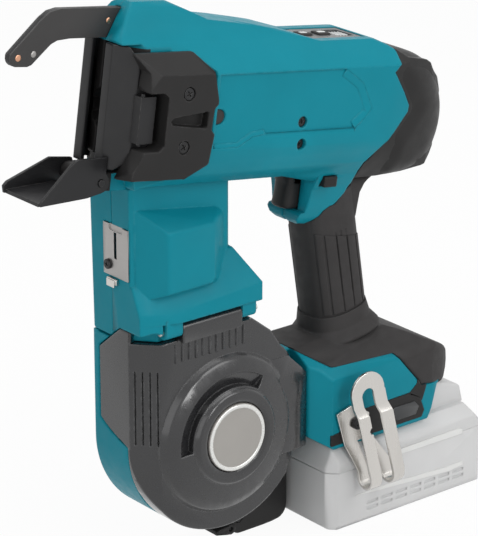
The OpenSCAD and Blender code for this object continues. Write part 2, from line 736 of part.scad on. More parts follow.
module wire_core() {
    color("#8d8d8d") difference() {
        rod_y(41.1, -reel_x, reel_z, -21.4, 10.9);
        rod_y(20 + seat, -reel_x, reel_z, -30, 20);
    }
}
// Outer wire layer: one tube on a helix, six-sided in section, closed at both ends
wire_pitch = (32.3 - wire_d - 1.2) / wire_turns;
wire_orbit = 41.6 + wire_d / 2;
wire_rings = 24 * wire_turns;
function helix(i) = let (a = 360 * i / 24) [wire_orbit * cos(a),
    -21.4 + 0.6 + wire_d / 2 + wire_pitch * i / 24, wire_orbit * sin(a)];
function helix_ring(i) = let (c = helix(i), a = 360 * i / 24, o = [cos(a), 0, sin(a)])
    [for (k = [0 : 5]) c + wire_d / 2 * (cos(60 * k + 30) * o + sin(60 * k + 30) * [0, 1, 0])];
module wire_layer() {
    color("#a5a5a5") translate([-reel_x, 0, reel_z]) polyhedron(
        points = [for (i = [0 : wire_rings]) each helix_ring(i)],
        faces = concat([[0, 1, 2, 3, 4, 5]],
            [for (i = [0 : wire_rings - 1]) for (k = [0 : 5])
                let (j = (k + 1) % 6, b = 6 * i) [b + k, b + 6 + k, b + 6 + j, b + j]],
            [[for (k = [5 : -1 : 0]) 6 * wire_rings + k]]), convexity = 8);
    echo("gap between turns", wire_pitch - wire_d);
}
module dome() {
    translate([-reel_x, 0, reel_z]) rotate([90, 0, 0]) difference() {
        rotate_extrude() polygon([[0, cover_wall - 3], [49.5, cover_wall - 3], [49.5, cover_wall],
            [47, cover_wall + 3.6], [41, cover_wall + 6.6],
            [30, badge_y - 2], [28.5, badge_y + 0.6], [24.5, badge_y + 0.6],
                [badge_r + 0.4, badge_y - 0.6], [badge_r + 0.4, badge_y - 2.2], [0, badge_y - 2.2]]);
        rotate([0, 0, 55]) rotate_extrude(angle = 130) polygon([[31, cover_wall + 3.2], [31, 60],
            [39, 60], [39, cover_wall + 5.4]]);
    }
}
module dome_hollow() {
    translate([-reel_x, 0, reel_z]) rotate([90, 0, 0])
        rotate_extrude() polygon([[0, 10], [47, 10], [47, cover_wall], [44.5, cover_wall + 1.4],
            [39, cover_wall + 2.2], [29, cover_wall + 2.4], [24, badge_y - 5], [0, badge_y - 5]]);
}
module reel_cover() {
    color("#45474a") difference() {
        union() {
            difference() {
                union() {
                    case_env(0, -60, -12.9);
                    intersection() {
                        dome();
                        box(-300, 0, -60, -20, 0, 153.5);
                    }
                    hull() {
                        side_slab([[-102, 60], [-102, 121], [-86, 121], [-71.2, 107], [-71.2, 58.5]],
                            -28.5, -21);
                        side_slab([[-96, 61], [-96, 106], [-84, 100], [-80.5, 91], [-80.5, 61]],
                            -33.5, -33);
                    }
                }
                case_env(case_t, -60, 0);
                dome_hollow();
                box(-200, -50, -60, -25, 153.5, 170);
                box(-200, -50, -30, 10, 151.2, 170);
            }
            intersection() {
                lip_zone(0);
                box(-neck_x, -neck_x + case_t, -20, 20, 60, 160);
            }
            hinge_knuckle(-166.6, -123.4, -8);
            for (x = [-170 : 5 : -120]) box(x, x + 1.2, -cover_wall - 0.8, -cover_wall + 1, 137, 149);
            box(-134, -128, -18, -13, 19, 24);
        }
        for (k = [0 : 3]) box(-190.6 + k * 3, -189.2 + k * 3, -17 - k * 3.25, -15.4 - k * 3.25, 88, 134);
        translate([0, -hinge_y, hinge_z]) rod_x(1.5 + run, -190, -105);
        box(-neck_x - 1, -166.9, -hinge_y - 5, -hinge_y + 5, 153, 165);
        box(-123.1, -100, -hinge_y - 5, -hinge_y + 5, 153, 165);
    }
}
module cover_badge() {
    color("#c9c7c2") rod_y(badge_r, -reel_x, reel_z, -badge_y - 0.2, -badge_y + 2.15);
}
module hinge_pin() {
    color("silver") translate([0, -hinge_y, hinge_z]) rod_x(1.5, -181, -110);
}
// Foot block with the lug and stub that carry the cover latch
module case_foot() {
    color("#343232") difference() {
        union() {
            side_slab(concat([[-112, 12], [-107, 2], [-104, 0]], arc([-73, 9], 9, -90, 0, 6), [[-64, 57],
                [-71, 61.5], [-80, 66], [-112, 40]]), -3, case_far);
            side_slab([[-128, 24], [-128, 11], [-125, 9], [-120, 9], [-111, 14], [-111, 40]],
                3.6, case_far - 1);
            rod_y(1.5, latch_x, latch_z, -19, 4);
        }
        rod_y(case_r + 0.1, -reel_x, reel_z, -40, 40);
        rod_y(3.2, -102.5, 10, -4, -0.5);
        rod_y(1.5, -102.5, 10, -1, 12);
    }
}
module cover_latch() {
    color("#2b2929") difference() {
        union() {
            rod_y(3.4, latch_x, latch_z, -20, 3.2);
            side_slab([[latch_x - 12, 14], [latch_x - 12, 17], [latch_x - 2, 17.2], [latch_x, 11.2]],
                -20, 3.2);
        }
        rod_y(1.5 + run, latch_x, latch_z, -30, 20);
    }
}

// Grip and base
module grip_prism(a, b, z0, z1) {
    translate([-31, 0, 157.5]) rotate([0, -grip_lean, 0]) plan_slab(oval(a, b, 0.8, 28), z0, z1);
}
base_front = case_r - reel_x + 0.5;
base_side = concat([[base_front, 64], [-58, 55.5], [20, 55.5], [30, 75], [43, 75], [46.5, 78], [48, 84],
    [46.5, 91],
    [42, 95], [34, 100], [14, 110.5], [0, 116], [-50, 118.5], [-62, 117.5]],
    arc([-reel_x, reel_z], case_r + seat, 33, 1.9, 12));
base_section = twice([[12, 119], [20, 115], [34, 107.2], [base_half, 101], [base_half, 50]]);
base_plan = both([[-90, 12.4], [base_front, 12.4], [base_front, 29], [-59, base_half], [22, base_half],
    [36, 33], [48, 24]]);
base_teal = [[-100, 40], [-100, 121], [-74, 119], [-56, 107], [-8, 105], [10, 84], [13, 79], [32, 77],
    [34, 40]];
band_side = [[-60, 58], [-60, 65], [-42, 67], [-34, 76], [4, 76.5], [12, 72], [16, 62], [14, 58]];
module base_env() {
    intersection() {
        side_slab(base_side, -60, 60);
        section_slab(base_section, -100, 60);
        plan_slab(base_plan, 40, 140);
    }
}
module base_hollow() {
    section_slab(twice([[rail_half + 6 + slide, rail_top + slide], [rail_half + 6 + slide, 61 - slide],
        [rail_half + slide, 61 - slide], [rail_half + slide, 50]]), -57, 80);
    box(-50, -8, -14, 14, 66, 84);
    mirrored() side_slab(band_side, base_half - 1.2, 60);
    rod_y(2, hook_sx, hook_sz, -60, -26);
    rod_y(2, spare_x, spare_z, 26, 60);
}
module base_left() {
    color("teal") left_only() difference() {
        intersection() {
            base_env();
            side_slab(base_teal, -60, 60);
        }
        base_hollow();
    }
}
module base_right() {
    color("teal") right_only() difference() {
        intersection() {
            base_env();
            side_slab(base_teal, -60, 60);
        }
        base_hollow();
    }
}
module base_top() {
    color("#343232") difference() {
        union() {
            base_env();
            hull() {
                grip_prism(grip_a + 7, grip_b + 7, -43, -41);
                grip_prism(grip_a + 2.6, grip_b + 2.6, -36, -35);
            }
            hull() {
                grip_prism(grip_a + 2.6, grip_b + 2.6, -36, -35);
                grip_prism(grip_a + 1, grip_b + 1, -28, -26);
            }
        }
        side_slab(base_teal, -60, 60);
        base_hollow();
        grip_prism(grip_a + seat, grip_b + seat, -44, 60);
    }
}
module base_bands() {
    color("#343232") difference() {
        mirrored() side_slab(band_side, base_half - 1.15, base_half + 0.3);
        rod_y(2.4, hook_sx, hook_sz, -60, -20);
    }
}
module grip() {
    color("#302e2e") difference() {
        union() {
            grip_prism(grip_a, grip_b, -43.9, 52);
            side_slab([[-40, 195], [-40, 225], [8, 222], [3.5, 212.5], [-7.3, 212.4], [-13.5, 209.5],
                [-17, 204.5], [-18.5, 198],
                [-20, 190]], -13, 13);
        }
        body_env();
        guard_env();
        for (s = [-1, 1]) for (k = [-2 : 2]) translate([-31, 0, 157.5]) rotate([0, -grip_lean, 0])
            translate([k * 4 + 4, s * (grip_b + 0.4), -14]) cylinder(r = 1, h = 42);
    }
}

// Trigger, switch and controls
module trigger() {
    color("#262626") in_barrel() union() {
        side_slab(aft([[-11.5, -42.4], [-18, -42.4], [-17.2, -48], [-17, -55], [-17.6, -62],
            [-18.4, -66.4], [-7, -66.4],
            [-7, -50.4], [-11.5, -50.4]]), -8, 8);
        box(motor_u - 7.5, motor_u + 1.5, -4, 4, -58.5, -52.5);
    }
}
module main_switch() {
    color("#1c1c1c") in_barrel() difference() {
        box(motor_u + 0.6, motor_u + 12, -8.4, 8.4, -60, -50.8);
        box(motor_u, motor_u + 1.5 + trigger_travel + slide, -4 - slide, 4 + slide, -58.5 - slide,
            -52.5 + slide);
    }
}
module trigger_lock() {
    color("#2a2a2a") in_barrel() box(lock_u - 5, lock_u + 5, -25, 20, lock_w - 3.3, lock_w + 3.3);
}
button_u = [motor_u - 13, motor_u + 1];
module button_shape(k) {
    color("#d9d9d9") in_barrel() box(button_u[k] - 4.65, button_u[k] + 4.65, -4.05, 4.05, deck - 2,
        deck + 0.6);
}
module control_panel() {
    color("#2c2e30") in_barrel() difference() {
        box(motor_u - 25.9, motor_u + 23.9, -13.5, 13.5, deck - 2.95, deck - 0.4);
        for (u = button_u) box(u - 5, u + 5, -4.4, 4.4, deck - 4, deck + 3);
        box(motor_u + 9, motor_u + 20, -8, 8, deck - 1.4, deck + 3);
    }
}
module power_button() {
    button_shape(0);
}
module mode_button() {
    button_shape(1);
}
module control_board() {
    color("#1f6b3a") in_barrel() box(motor_u - 25.8, motor_u + 20.8, -14.8, 14.8, bay_r + 1.05, bay_r + 3);
}

// Battery
module battery_env(d) {
    intersection() {
        side_slab([[-batt_front + 2 + d, d], [-batt_front + d, 2 + d], [-batt_front + d, 40],
            [-batt_front + 3 + d * 0.8, batt_top - d], [batt_rear - 14 - d * 0.4, batt_top - d],
            [batt_rear - 5 - d, 43.5 - d * 0.5], [batt_rear - d, 36], [batt_rear - d, 3 + d * 0.4],
            [batt_rear - 3 - d * 0.4, d]], -60, 60);
        section_slab(twice([[base_half - 5 - d * 0.4, batt_top + 1 - d], [base_half - d, 46 - d * 0.6],
            [base_half - d, 3 + d * 0.5], [base_half - 2 - d * 0.5, d - 1]]), -80, 80);
        plan_slab(both([[-batt_front + d, base_half - 6 - d * 0.4],
            [-batt_front + 6 + d * 0.4, base_half - d],
            [batt_rear - 4 - d * 0.4, base_half - d], [batt_rear - d, base_half - 4 - d * 0.4]]), 0, 100);
    }
}
module battery_case() {
    color("#c3c3c3") difference() {
        intersection() {
            battery_env(0);
            box(-100, 100, -60, 60, 0, lid_z);
        }
        battery_env(batt_t);
        mirrored() for (x = [-30 : 12 : 42]) for (z = [7, 11])
            box(x, x + 9, base_half - 1, base_half + 2, z, z + 1.8);
    }
}
module battery_lid() {
    color("#c3c3c3") difference() {
        union() {
            intersection() {
                battery_env(0);
                box(-100, 100, -60, 60, lid_z, 60);
            }
            section_slab(twice([[rail_half + 6, rail_top], [rail_half + 6, 61.4], [rail_half, 61.4],
                [rail_half, batt_top - 1]]), -56, 26);
            side_slab([[21, batt_top - 1], [30.6, 73.2], [33, 73.4], [54.5, 65.8], [57.5, batt_top - 1]],
                -30, 30);
        }
        battery_env(batt_t);
        section_slab([[-15, 58], [-15, 80], [15, 80], [15, 58]], -60, -6);
        box(38, 66, -13.4, 13.4, batt_top + 2, 80);
    }
}
module battery_button() {
    color("#9a9a9a") side_slab([[38.4, 60.2], [38.4, 70.8], [50.6, 66.2], [52.2, 60.2]], -13, 13);
}
module battery_cells() {
    color("#4a7aa8") for (k = [0 : 4]) for (z = [0, 1])
        rod_y(cell_r, -44.6 + k * (2 * cell_r + 0.04), batt_t + cell_r + 0.02 + z * (2 * cell_r + 0.04),
            -base_half + 6, base_half - 6);
}
module terminal_block() {
    color("#222222") union() {
        box(-49.9, -8.1, -13.9, 13.9, 68, 83.9);
        for (y = [-10, -4, 2.5, 8.5]) box(-40, -12, y, y + 1.2, 60, 68.1);
    }
}

// Belt hook: one bent strip with a slot that parts it into two legs
leg_in = -base_half - 0.4;
module belt_hook() {
    color("silver") difference() {
        union() {
            intersection() {
                section_slab([[leg_in, 84], [leg_in, 58], [-bend_in + hook_t, bend_z], [-bend_in, bend_z],
                    [leg_in - hook_t, 58.3], [leg_in - hook_t, 84]], -70, 10);
                side_slab([[-57.5, 79], [-46, 82], [-31.5, 74], [-31, 61], [-29 + hook_w / 2, bend_z + 4],
                    [-29 + hook_w / 2, bend_z - 6], [-29 - hook_w / 2, bend_z - 6],
                        [-29 - hook_w / 2, bend_z + 4],
                    [-52, 60]], -70, 0);
            }
            intersection() {
                section_slab(concat(arc([-bend_y, bend_z], bend_y - bend_in + hook_t, 0, -180, 10),
                    [[-hook_out, 80], [-hook_out + 3.5, 85], [-hook_out + 3.5, 112],
                        [-hook_out + 3.5 + hook_t, 112],
                     [-hook_out + 3.5 + hook_t, 84], [-hook_out + hook_t, 79]],
                    arc([-bend_y, bend_z], bend_y - bend_in, -180, 0, 10)), -80, 10);
                side_slab(concat([[-29 + hook_w / 2, bend_z - 16], [-29 + hook_w / 2, bend_z + 2],
                    [-30, 94]],
                    arc([-43.5, 94], 13, 0, 180, 12),
                    [[-56.5, 94], [-29 - hook_w / 2, bend_z + 2],
                        [-29 - hook_w / 2, bend_z - 16]]), -70, 0);
            }
        }
        side_slab([[-34, bend_z - 16], [-24.3, bend_z - 16], [-24.3, bend_z + 2], [-35, 58], [-41, 58],
            [-34, bend_z + 4]],
            -base_half - 12, 0);
        side_slab(concat([[-34, bend_z - 16], [-24.3, bend_z - 16], [-24.3, bend_z + 2]],
            arc([-43.5, 92], 4.6, 0, 180, 8),
            [[-34, bend_z + 2]]), -70, -bend_y + 1);
        rod_y(2 + slide, hook_sx, hook_sz, -60, 0);
    }
}

left_housing();
right_housing();
housing_screws();
rear_cover();
side_cover_left();
side_cover_right();
contact_plate_left();
contact_plate_right();
contact_arms();
upper_guide_core();
upper_guide_cheeks();
upper_guide_rivets();
lower_guide();
lower_guide_pin();
motor_stator();
motor_rotor();
cooling_fan();
motor_end_bells();
sun_gear();
planet_gear_1();
planet_gear_2();
planet_gear_3();
ring_gear();
planet_carrier();
twister_head();
wire_guide_plate();
fitting_screws();
sight_window();
feed_motor();
feed_drive_gear();
feed_idler_gear();
feed_bracket();
reel_case();
reel_spindle();
wire_spool();
wire_core();
wire_layer();
reel_cover();
cover_badge();
hinge_pin();
case_foot();
cover_latch();
grip();
base_left();
base_right();
base_top();
base_bands();
trigger();
main_switch();
trigger_lock();
control_panel();
power_button();
mode_button();
control_board();
battery_case();
battery_lid();
battery_button();
battery_cells();
terminal_block();
belt_hook();
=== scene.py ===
import json
import math

import bmesh
import bpy
import numpy as np
from mathutils import Matrix, Vector
from mathutils.bvhtree import BVHTree


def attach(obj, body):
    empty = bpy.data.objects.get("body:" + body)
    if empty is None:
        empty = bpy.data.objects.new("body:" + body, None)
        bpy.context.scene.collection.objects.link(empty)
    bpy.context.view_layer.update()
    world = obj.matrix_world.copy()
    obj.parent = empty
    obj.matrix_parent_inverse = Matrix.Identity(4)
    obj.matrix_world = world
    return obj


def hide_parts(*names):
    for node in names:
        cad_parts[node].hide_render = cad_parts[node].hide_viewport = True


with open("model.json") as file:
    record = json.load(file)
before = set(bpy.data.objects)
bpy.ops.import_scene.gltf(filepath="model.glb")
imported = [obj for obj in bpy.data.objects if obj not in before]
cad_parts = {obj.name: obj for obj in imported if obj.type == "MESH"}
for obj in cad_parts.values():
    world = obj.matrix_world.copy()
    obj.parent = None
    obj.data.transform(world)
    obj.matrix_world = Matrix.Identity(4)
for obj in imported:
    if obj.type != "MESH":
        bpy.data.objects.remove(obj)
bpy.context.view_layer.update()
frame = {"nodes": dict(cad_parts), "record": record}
nodes = frame["nodes"]
scene = bpy.context.scene
MM = 0.001

# Axes of the CAD model's barrel in millimetres: u runs rearward along it, w upward, from the nose.
# MOTOR_U is the motor's place, from which the rear shapes are measured.
TILT = math.radians(8.25)
NOSE_X, NOSE_Z = -205.0, 290.0
MOTOR_U = 162.0
SIDES = (-1.0, 1.0)


# Material helpers
# The last of these scales is the noise that breaks up the lightened edges, which are partly wear and partly
# a painted highlight.
CLOUD_SCALE, SPOT_SCALE, MID_SCALE, WEAR_AND_HIGHLIGHT_SCALE = 22.0, 90.0, 140.0, 260.0
BUMP_DEPTH = 0.0003
COAT_ROUGH = 0.12


def tree_of(name):
    m = bpy.data.materials.new(name)
    m.use_nodes = True
    t = m.node_tree
    t.nodes.clear()
    out = t.nodes.new("ShaderNodeOutputMaterial")
    bsdf = t.nodes.new("ShaderNodeBsdfPrincipled")
    t.links.new(bsdf.outputs["BSDF"], out.inputs["Surface"])
    return m, t, bsdf


def noise(t, scale, detail=2.0, rough=0.5, stretch=None):
    coord = t.nodes.new("ShaderNodeTexCoord")
    n = t.nodes.new("ShaderNodeTexNoise")
    n.inputs["Scale"].default_value = scale
    n.inputs["Detail"].default_value = detail
    n.inputs["Roughness"].default_value = rough
    if stretch:
        mp = t.nodes.new("ShaderNodeMapping")
        mp.inputs["Scale"].default_value = stretch
        t.links.new(coord.outputs["Object"], mp.inputs["Vector"])
        t.links.new(mp.outputs["Vector"], n.inputs["Vector"])
    else:
        t.links.new(coord.outputs["Object"], n.inputs["Vector"])
    return n


def spread(t, src, lo, hi, a=0.3, b=0.7):
    r = t.nodes.new("ShaderNodeMapRange")
    r.inputs["From Min"].default_value = a
    r.inputs["From Max"].default_value = b
    r.inputs["To Min"].default_value = lo
    r.inputs["To Max"].default_value = hi
    t.links.new(src, r.inputs["Value"])
    return r.outputs["Result"]


def blend_col(t, fac, a, b):
    mx = t.nodes.new("ShaderNodeMix")
    mx.data_type = "RGBA"
    t.links.new(fac, mx.inputs["Factor"])
    for sock, v in ((mx.inputs["A"], a), (mx.inputs["B"], b)):
        if isinstance(v, tuple):
            sock.default_value = v + (1.0,)
        else:
            t.links.new(v, sock)
    return mx.outputs["Result"]


def edge_mask(t, radius):
    """1 along outer edges, 0 on flat faces, broken up by noise."""
    bev = t.nodes.new("ShaderNodeBevel")
    bev.samples = 6
    bev.inputs["Radius"].default_value = radius
    geo = t.nodes.new("ShaderNodeNewGeometry")
    dot = t.nodes.new("ShaderNodeVectorMath")
    dot.operation = "DOT_PRODUCT"
    t.links.new(bev.outputs["Normal"], dot.inputs[0])
    t.links.new(geo.outputs["Normal"], dot.inputs[1])
    edge = spread(t, dot.outputs["Value"], 1.0, 0.0, 0.86, 0.985)
    grain = noise(t, WEAR_AND_HIGHLIGHT_SCALE, 4.0, 0.6)
    # Noise breaks the edge mask into patches; the lighter edge colour it carries is partly wear, partly a
    # painted highlight.
    wear_and_highlight_spots = spread(t, grain.outputs["Fac"], 0.0, 1.0, 0.42, 0.62)
    mul = t.nodes.new("ShaderNodeMath")
    mul.operation = "MULTIPLY"
    t.links.new(edge, mul.inputs[0])
    t.links.new(wear_and_highlight_spots, mul.inputs[1])
    return mul.outputs["Value"], bev


def finish_mat(name, base, rough, metal=0.0, var=0.08, grain=(1500.0, 0.12), edge=0.0008, edge_wear_and_highlight=None,
               wear_and_highlight_amount=0.35, spec=0.5, coat=0.0, stretch=None, rough_var=0.07, dirt=None):
    m, t, bsdf = tree_of(name)
    lo = tuple(c * (1.0 - var) for c in base)
    hi = tuple(min(1.0, c * (1.0 + var)) for c in base)
    cloud = noise(t, CLOUD_SCALE, 3.0, 0.55, stretch)
    col = blend_col(t, spread(t, cloud.outputs["Fac"], 0.0, 1.0), lo, hi)
    if dirt:
        spots = noise(t, SPOT_SCALE, 5.0, 0.65)
        col = blend_col(t, spread(t, spots.outputs["Fac"], 0.0, 0.5, 0.55, 0.75), col, dirt)
    mask, bev = edge_mask(t, edge)
    # Lighter colour along the outer edges: partly wear, partly a painted highlight.
    if edge_wear_and_highlight:
        amt = spread(t, mask, 0.0, wear_and_highlight_amount, 0.0, 1.0)
        col = blend_col(t, amt, col, edge_wear_and_highlight)
    t.links.new(col, bsdf.inputs["Base Color"])
    fine = noise(t, grain[0], 2.0, 0.5, stretch)
    mid = noise(t, MID_SCALE, 3.0, 0.6, stretch)
    gloss = spread(t, mid.outputs["Fac"], rough - rough_var, rough + rough_var)
    t.links.new(gloss, bsdf.inputs["Roughness"])
    bump = t.nodes.new("ShaderNodeBump")
    bump.inputs["Strength"].default_value = grain[1]
    bump.inputs["Distance"].default_value = BUMP_DEPTH
    t.links.new(fine.outputs["Fac"], bump.inputs["Height"])
    t.links.new(bev.outputs["Normal"], bump.inputs["Normal"])
    t.links.new(bump.outputs["Normal"], bsdf.inputs["Normal"])
    bsdf.inputs["Metallic"].default_value = metal
    bsdf.inputs["Specular IOR Level"].default_value = spec
    bsdf.inputs["Coat Weight"].default_value = coat
    bsdf.inputs["Coat Roughness"].default_value = COAT_ROUGH
    return m


def teal_mat(name):
    return finish_mat(name, (0.003, 0.202, 0.264), 0.42, var=0.05, edge=0.0016,
                      edge_wear_and_highlight=(0.08, 0.40, 0.48), wear_and_highlight_amount=0.3, spec=0.12)


# The lighter edge colours given below are partly wear and partly a painted highlight.
mats = {
    "teal_plastic": teal_mat("teal_plastic"),
    "dark_plastic": finish_mat("dark_plastic", (0.019, 0.0185, 0.0185), 0.44, var=0.10, edge=0.0014,
                               edge_wear_and_highlight=(0.12, 0.115, 0.115), wear_and_highlight_amount=0.3, spec=0.17),
    "smoked_plastic": finish_mat("smoked_plastic", (0.013, 0.013, 0.0145), 0.26, var=0.12, edge=0.0014,
                                 edge_wear_and_highlight=(0.15, 0.15, 0.155), coat=0.6, grain=(1800.0, 0.04), spec=0.4),
    "elastomer": finish_mat("elastomer", (0.032, 0.030, 0.030), 0.66, var=0.12, edge=0.0015,
                            edge_wear_and_highlight=(0.07, 0.068, 0.068), grain=(2200.0, 0.30), spec=0.25),
    "black_steel": finish_mat("black_steel", (0.013, 0.013, 0.014), 0.38, var=0.15, edge=0.0005,
                              edge_wear_and_highlight=(0.26, 0.25, 0.24), wear_and_highlight_amount=0.4, grain=(2600.0, 0.10), spec=0.3),
    "grey_steel": finish_mat("grey_steel", (0.030, 0.029, 0.029), 0.42, var=0.15, edge=0.0005,
                             edge_wear_and_highlight=(0.30, 0.29, 0.28), wear_and_highlight_amount=0.4, grain=(2400.0, 0.12), spec=0.4),
    "steel": finish_mat("steel", (0.62, 0.60, 0.57), 0.28, metal=1.0, var=0.06, edge=0.0005,
                        stretch=(1.0, 1.0, 0.12), grain=(1600.0, 0.10), rough_var=0.06),
    "plate_steel": finish_mat("plate_steel", (0.34, 0.33, 0.32), 0.36, metal=1.0, var=0.10, edge=0.0006,
                              edge_wear_and_highlight=(0.62, 0.61, 0.60), wear_and_highlight_amount=0.6, stretch=(1.0, 0.15, 1.0),
                              grain=(1600.0, 0.12)),
    "bronze": finish_mat("bronze", (0.62, 0.34, 0.22), 0.32, metal=1.0, var=0.10, edge=0.0003),
    "gear_steel": finish_mat("gear_steel", (0.50, 0.49, 0.47), 0.30, metal=1.0, var=0.08, edge=0.0003,
                             dirt=(0.12, 0.10, 0.07)),
    "laminations": finish_mat("laminations", (0.30, 0.30, 0.30), 0.45, metal=0.8, var=0.15, edge=0.0004,
                              stretch=(14.0, 1.0, 1.0)),
    "badge": finish_mat("badge", (0.31, 0.295, 0.275), 0.36, var=0.05, edge=0.0004, coat=0.2,
                        grain=(1200.0, 0.10)),
    "panel": finish_mat("panel", (0.026, 0.028, 0.030), 0.32, var=0.10, edge=0.0006, coat=0.2, spec=0.35),
    "board": finish_mat("board", (0.02, 0.16, 0.06), 0.40, var=0.15, edge=0.0003),
    "wire": finish_mat("wire", (0.30, 0.29, 0.28), 0.40, metal=1.0, var=0.15, edge=0.0002,
                       dirt=(0.10, 0.08, 0.06)),
    "pack_plastic": finish_mat("pack_plastic", (0.58, 0.58, 0.58), 0.46, var=0.04, edge=0.0016,
                               edge_wear_and_highlight=(0.70, 0.70, 0.70), wear_and_highlight_amount=0.3, spec=0.35),
    "cells": finish_mat("cells", (0.06, 0.22, 0.36), 0.38, var=0.08, edge=0.0004),
    "badge_rim": finish_mat("badge_rim", (0.70, 0.70, 0.68), 0.28, metal=0.4, var=0.04, edge=0.0003),
    "lens": finish_mat("lens", (0.60, 0.62, 0.62), 0.22, var=0.05, edge=0.0002, coat=0.4),
    "pack_light": finish_mat("pack_light", (0.68, 0.68, 0.67), 0.42, var=0.04, edge=0.0004, spec=0.35),
}


# Limits of the dark nose in barrel axes, in metres, with the rear and low ends of its two parts
NOSE_HALF, NOSE_TOP = 0.0212, 0.0378
CORE_END, CORE_LOW = 0.0205, -0.0335
LUG_END, LUG_LOW = 0.0068, -0.0455


def dark_nose(m, dark):
    """The second shot of the housing mould: dark between the contact plates."""
    t = m.node_tree
    bsdf = next(n for n in t.nodes if n.type == "BSDF_PRINCIPLED")
    teal = bsdf.inputs["Base Color"].links[0].from_socket
    coord = t.nodes.new("ShaderNodeTexCoord")
    c, k = math.cos(TILT), math.sin(TILT)

    def axis(v, shift):
        d = t.nodes.new("ShaderNodeVectorMath")
        d.operation = "DOT_PRODUCT"
        d.inputs[1].default_value = v
        t.links.new(coord.outputs["Object"], d.inputs[0])
        a = t.nodes.new("ShaderNodeMath")
        a.inputs[1].default_value = shift
        t.links.new(d.outputs["Value"], a.inputs[0])
        return a.outputs[0]

    def gate(src, op, limit, prev=None):
        g = t.nodes.new("ShaderNodeMath")
        g.operation = op
        g.inputs[1].default_value = limit
        t.links.new(src, g.inputs[0])
        if prev is None:
            return g.outputs[0]
        x = t.nodes.new("ShaderNodeMath")
        x.operation = "MULTIPLY"
        t.links.new(g.outputs[0], x.inputs[0])
        t.links.new(prev, x.inputs[1])
        return x.outputs[0]

    u = axis((c, 0.0, -k), MM * (NOSE_Z * k - NOSE_X * c))
    w = axis((k, 0.0, c), -MM * (NOSE_Z * c + NOSE_X * k))
    y = axis((0.0, 1.0, 0.0), 0.0)
    side = gate(y, "LESS_THAN", NOSE_HALF)
    side = gate(y, "GREATER_THAN", -NOSE_HALF, side)
    side = gate(w, "LESS_THAN", NOSE_TOP, side)
    core = gate(u, "LESS_THAN", CORE_END, gate(w, "GREATER_THAN", CORE_LOW, side))
    lugs = gate(u, "LESS_THAN", LUG_END, gate(w, "GREATER_THAN", LUG_LOW, side))
    mask = t.nodes.new("ShaderNodeMath")
    mask.operation = "MAXIMUM"
    t.links.new(core, mask.inputs[0])
    t.links.new(lugs, mask.inputs[1])
    t.links.new(blend_col(t, mask.outputs[0], teal, dark), bsdf.inputs["Base Color"])


mats["housing_teal"] = teal_mat("housing_teal")
dark_nose(mats["housing_teal"], (0.022, 0.021, 0.021))
finish_of = {"left_housing": "housing_teal", "right_housing": "housing_teal",
             "wire_guide_plate": "plate_steel"}

slot_of = {s["node"]: s["material_slot"] for s in frame["record"]["subparts"]}
for name, ob in nodes.items():
    ob.data.materials.clear()
    ob.data.materials.append(mats[finish_of.get(name, slot_of[name])])


# Rounded outer edges on the CAD nodes that show
WELD = 2e-5
ON_LINE = 3e-5
FLAT = 0.012
SHARP = 0.45
STRAIGHT = -0.85
ROOM_SHARE = 0.4
LEAST_SHARE = 0.12
TRIES = 4


def edge_room(edge, face):
    a = edge.verts[0].co
    d = (edge.verts[1].co - a).normalized()
    return max((r - d * r.dot(d)).length for r in (v.co - a for v in face.verts))


def edge_facts(me, width):
    """Sharp edges of the cleaned mesh: their ends, and the share of the width that fits, or 0."""
    bm = bmesh.new()
    bm.from_mesh(me)
    bmesh.ops.remove_doubles(bm, verts=bm.verts[:], dist=WELD)
    bmesh.ops.dissolve_limit(bm, angle_limit=FLAT, verts=bm.verts[:], edges=bm.edges[:])
    rows = []
    for e in bm.edges:
        if len(e.link_faces) != 2 or e.calc_face_angle(0.0) < SHARP:
            continue
        share = 0.0
        if e.is_convex:
            room = min(edge_room(e, f) for f in e.link_faces)
            for v in e.verts:
                along = (e.other_vert(v).co - v.co).normalized()
                for f in v.link_edges:
                    out = f.other_vert(v).co - v.co
                    if f is not e and out.normalized().dot(along) > STRAIGHT:
                        room = min(room, out.length)
            share = min(1.0, ROOM_SHARE * room / width)
            share = share if share > LEAST_SHARE else 0.0
        rows.append((e.verts[0].co[:], e.verts[1].co[:], share))
    bm.free()
    return rows


def ends_of(me):
    co = np.empty(len(me.vertices) * 3)
    me.vertices.foreach_get("co", co)
    co = co.reshape(-1, 3)
    ev = np.empty(len(me.edges) * 2, dtype=np.int32)
    me.edges.foreach_get("vertices", ev)
    return co[ev[0::2]], co[ev[1::2]]


def crossings(ob):
    """Centres of the faces of the finished mesh that cut through others."""
    ev = ob.evaluated_get(bpy.context.evaluated_depsgraph_get())
    bm = bmesh.new()
    bm.from_mesh(ev.to_mesh())
    ev.to_mesh_clear()
    bmesh.ops.triangulate(bm, faces=bm.faces[:])
    bm.faces.ensure_lookup_table()
    tree = BVHTree.FromBMesh(bm, epsilon=0.0)
    spots = []
    for a, b in tree.overlap(tree):
        if a < b and not {v.index for v in bm.faces[a].verts} & {v.index for v in bm.faces[b].verts}:
            spots.append(bm.faces[a].calc_center_median()[:])
    bm.free()
    return np.array(spots)


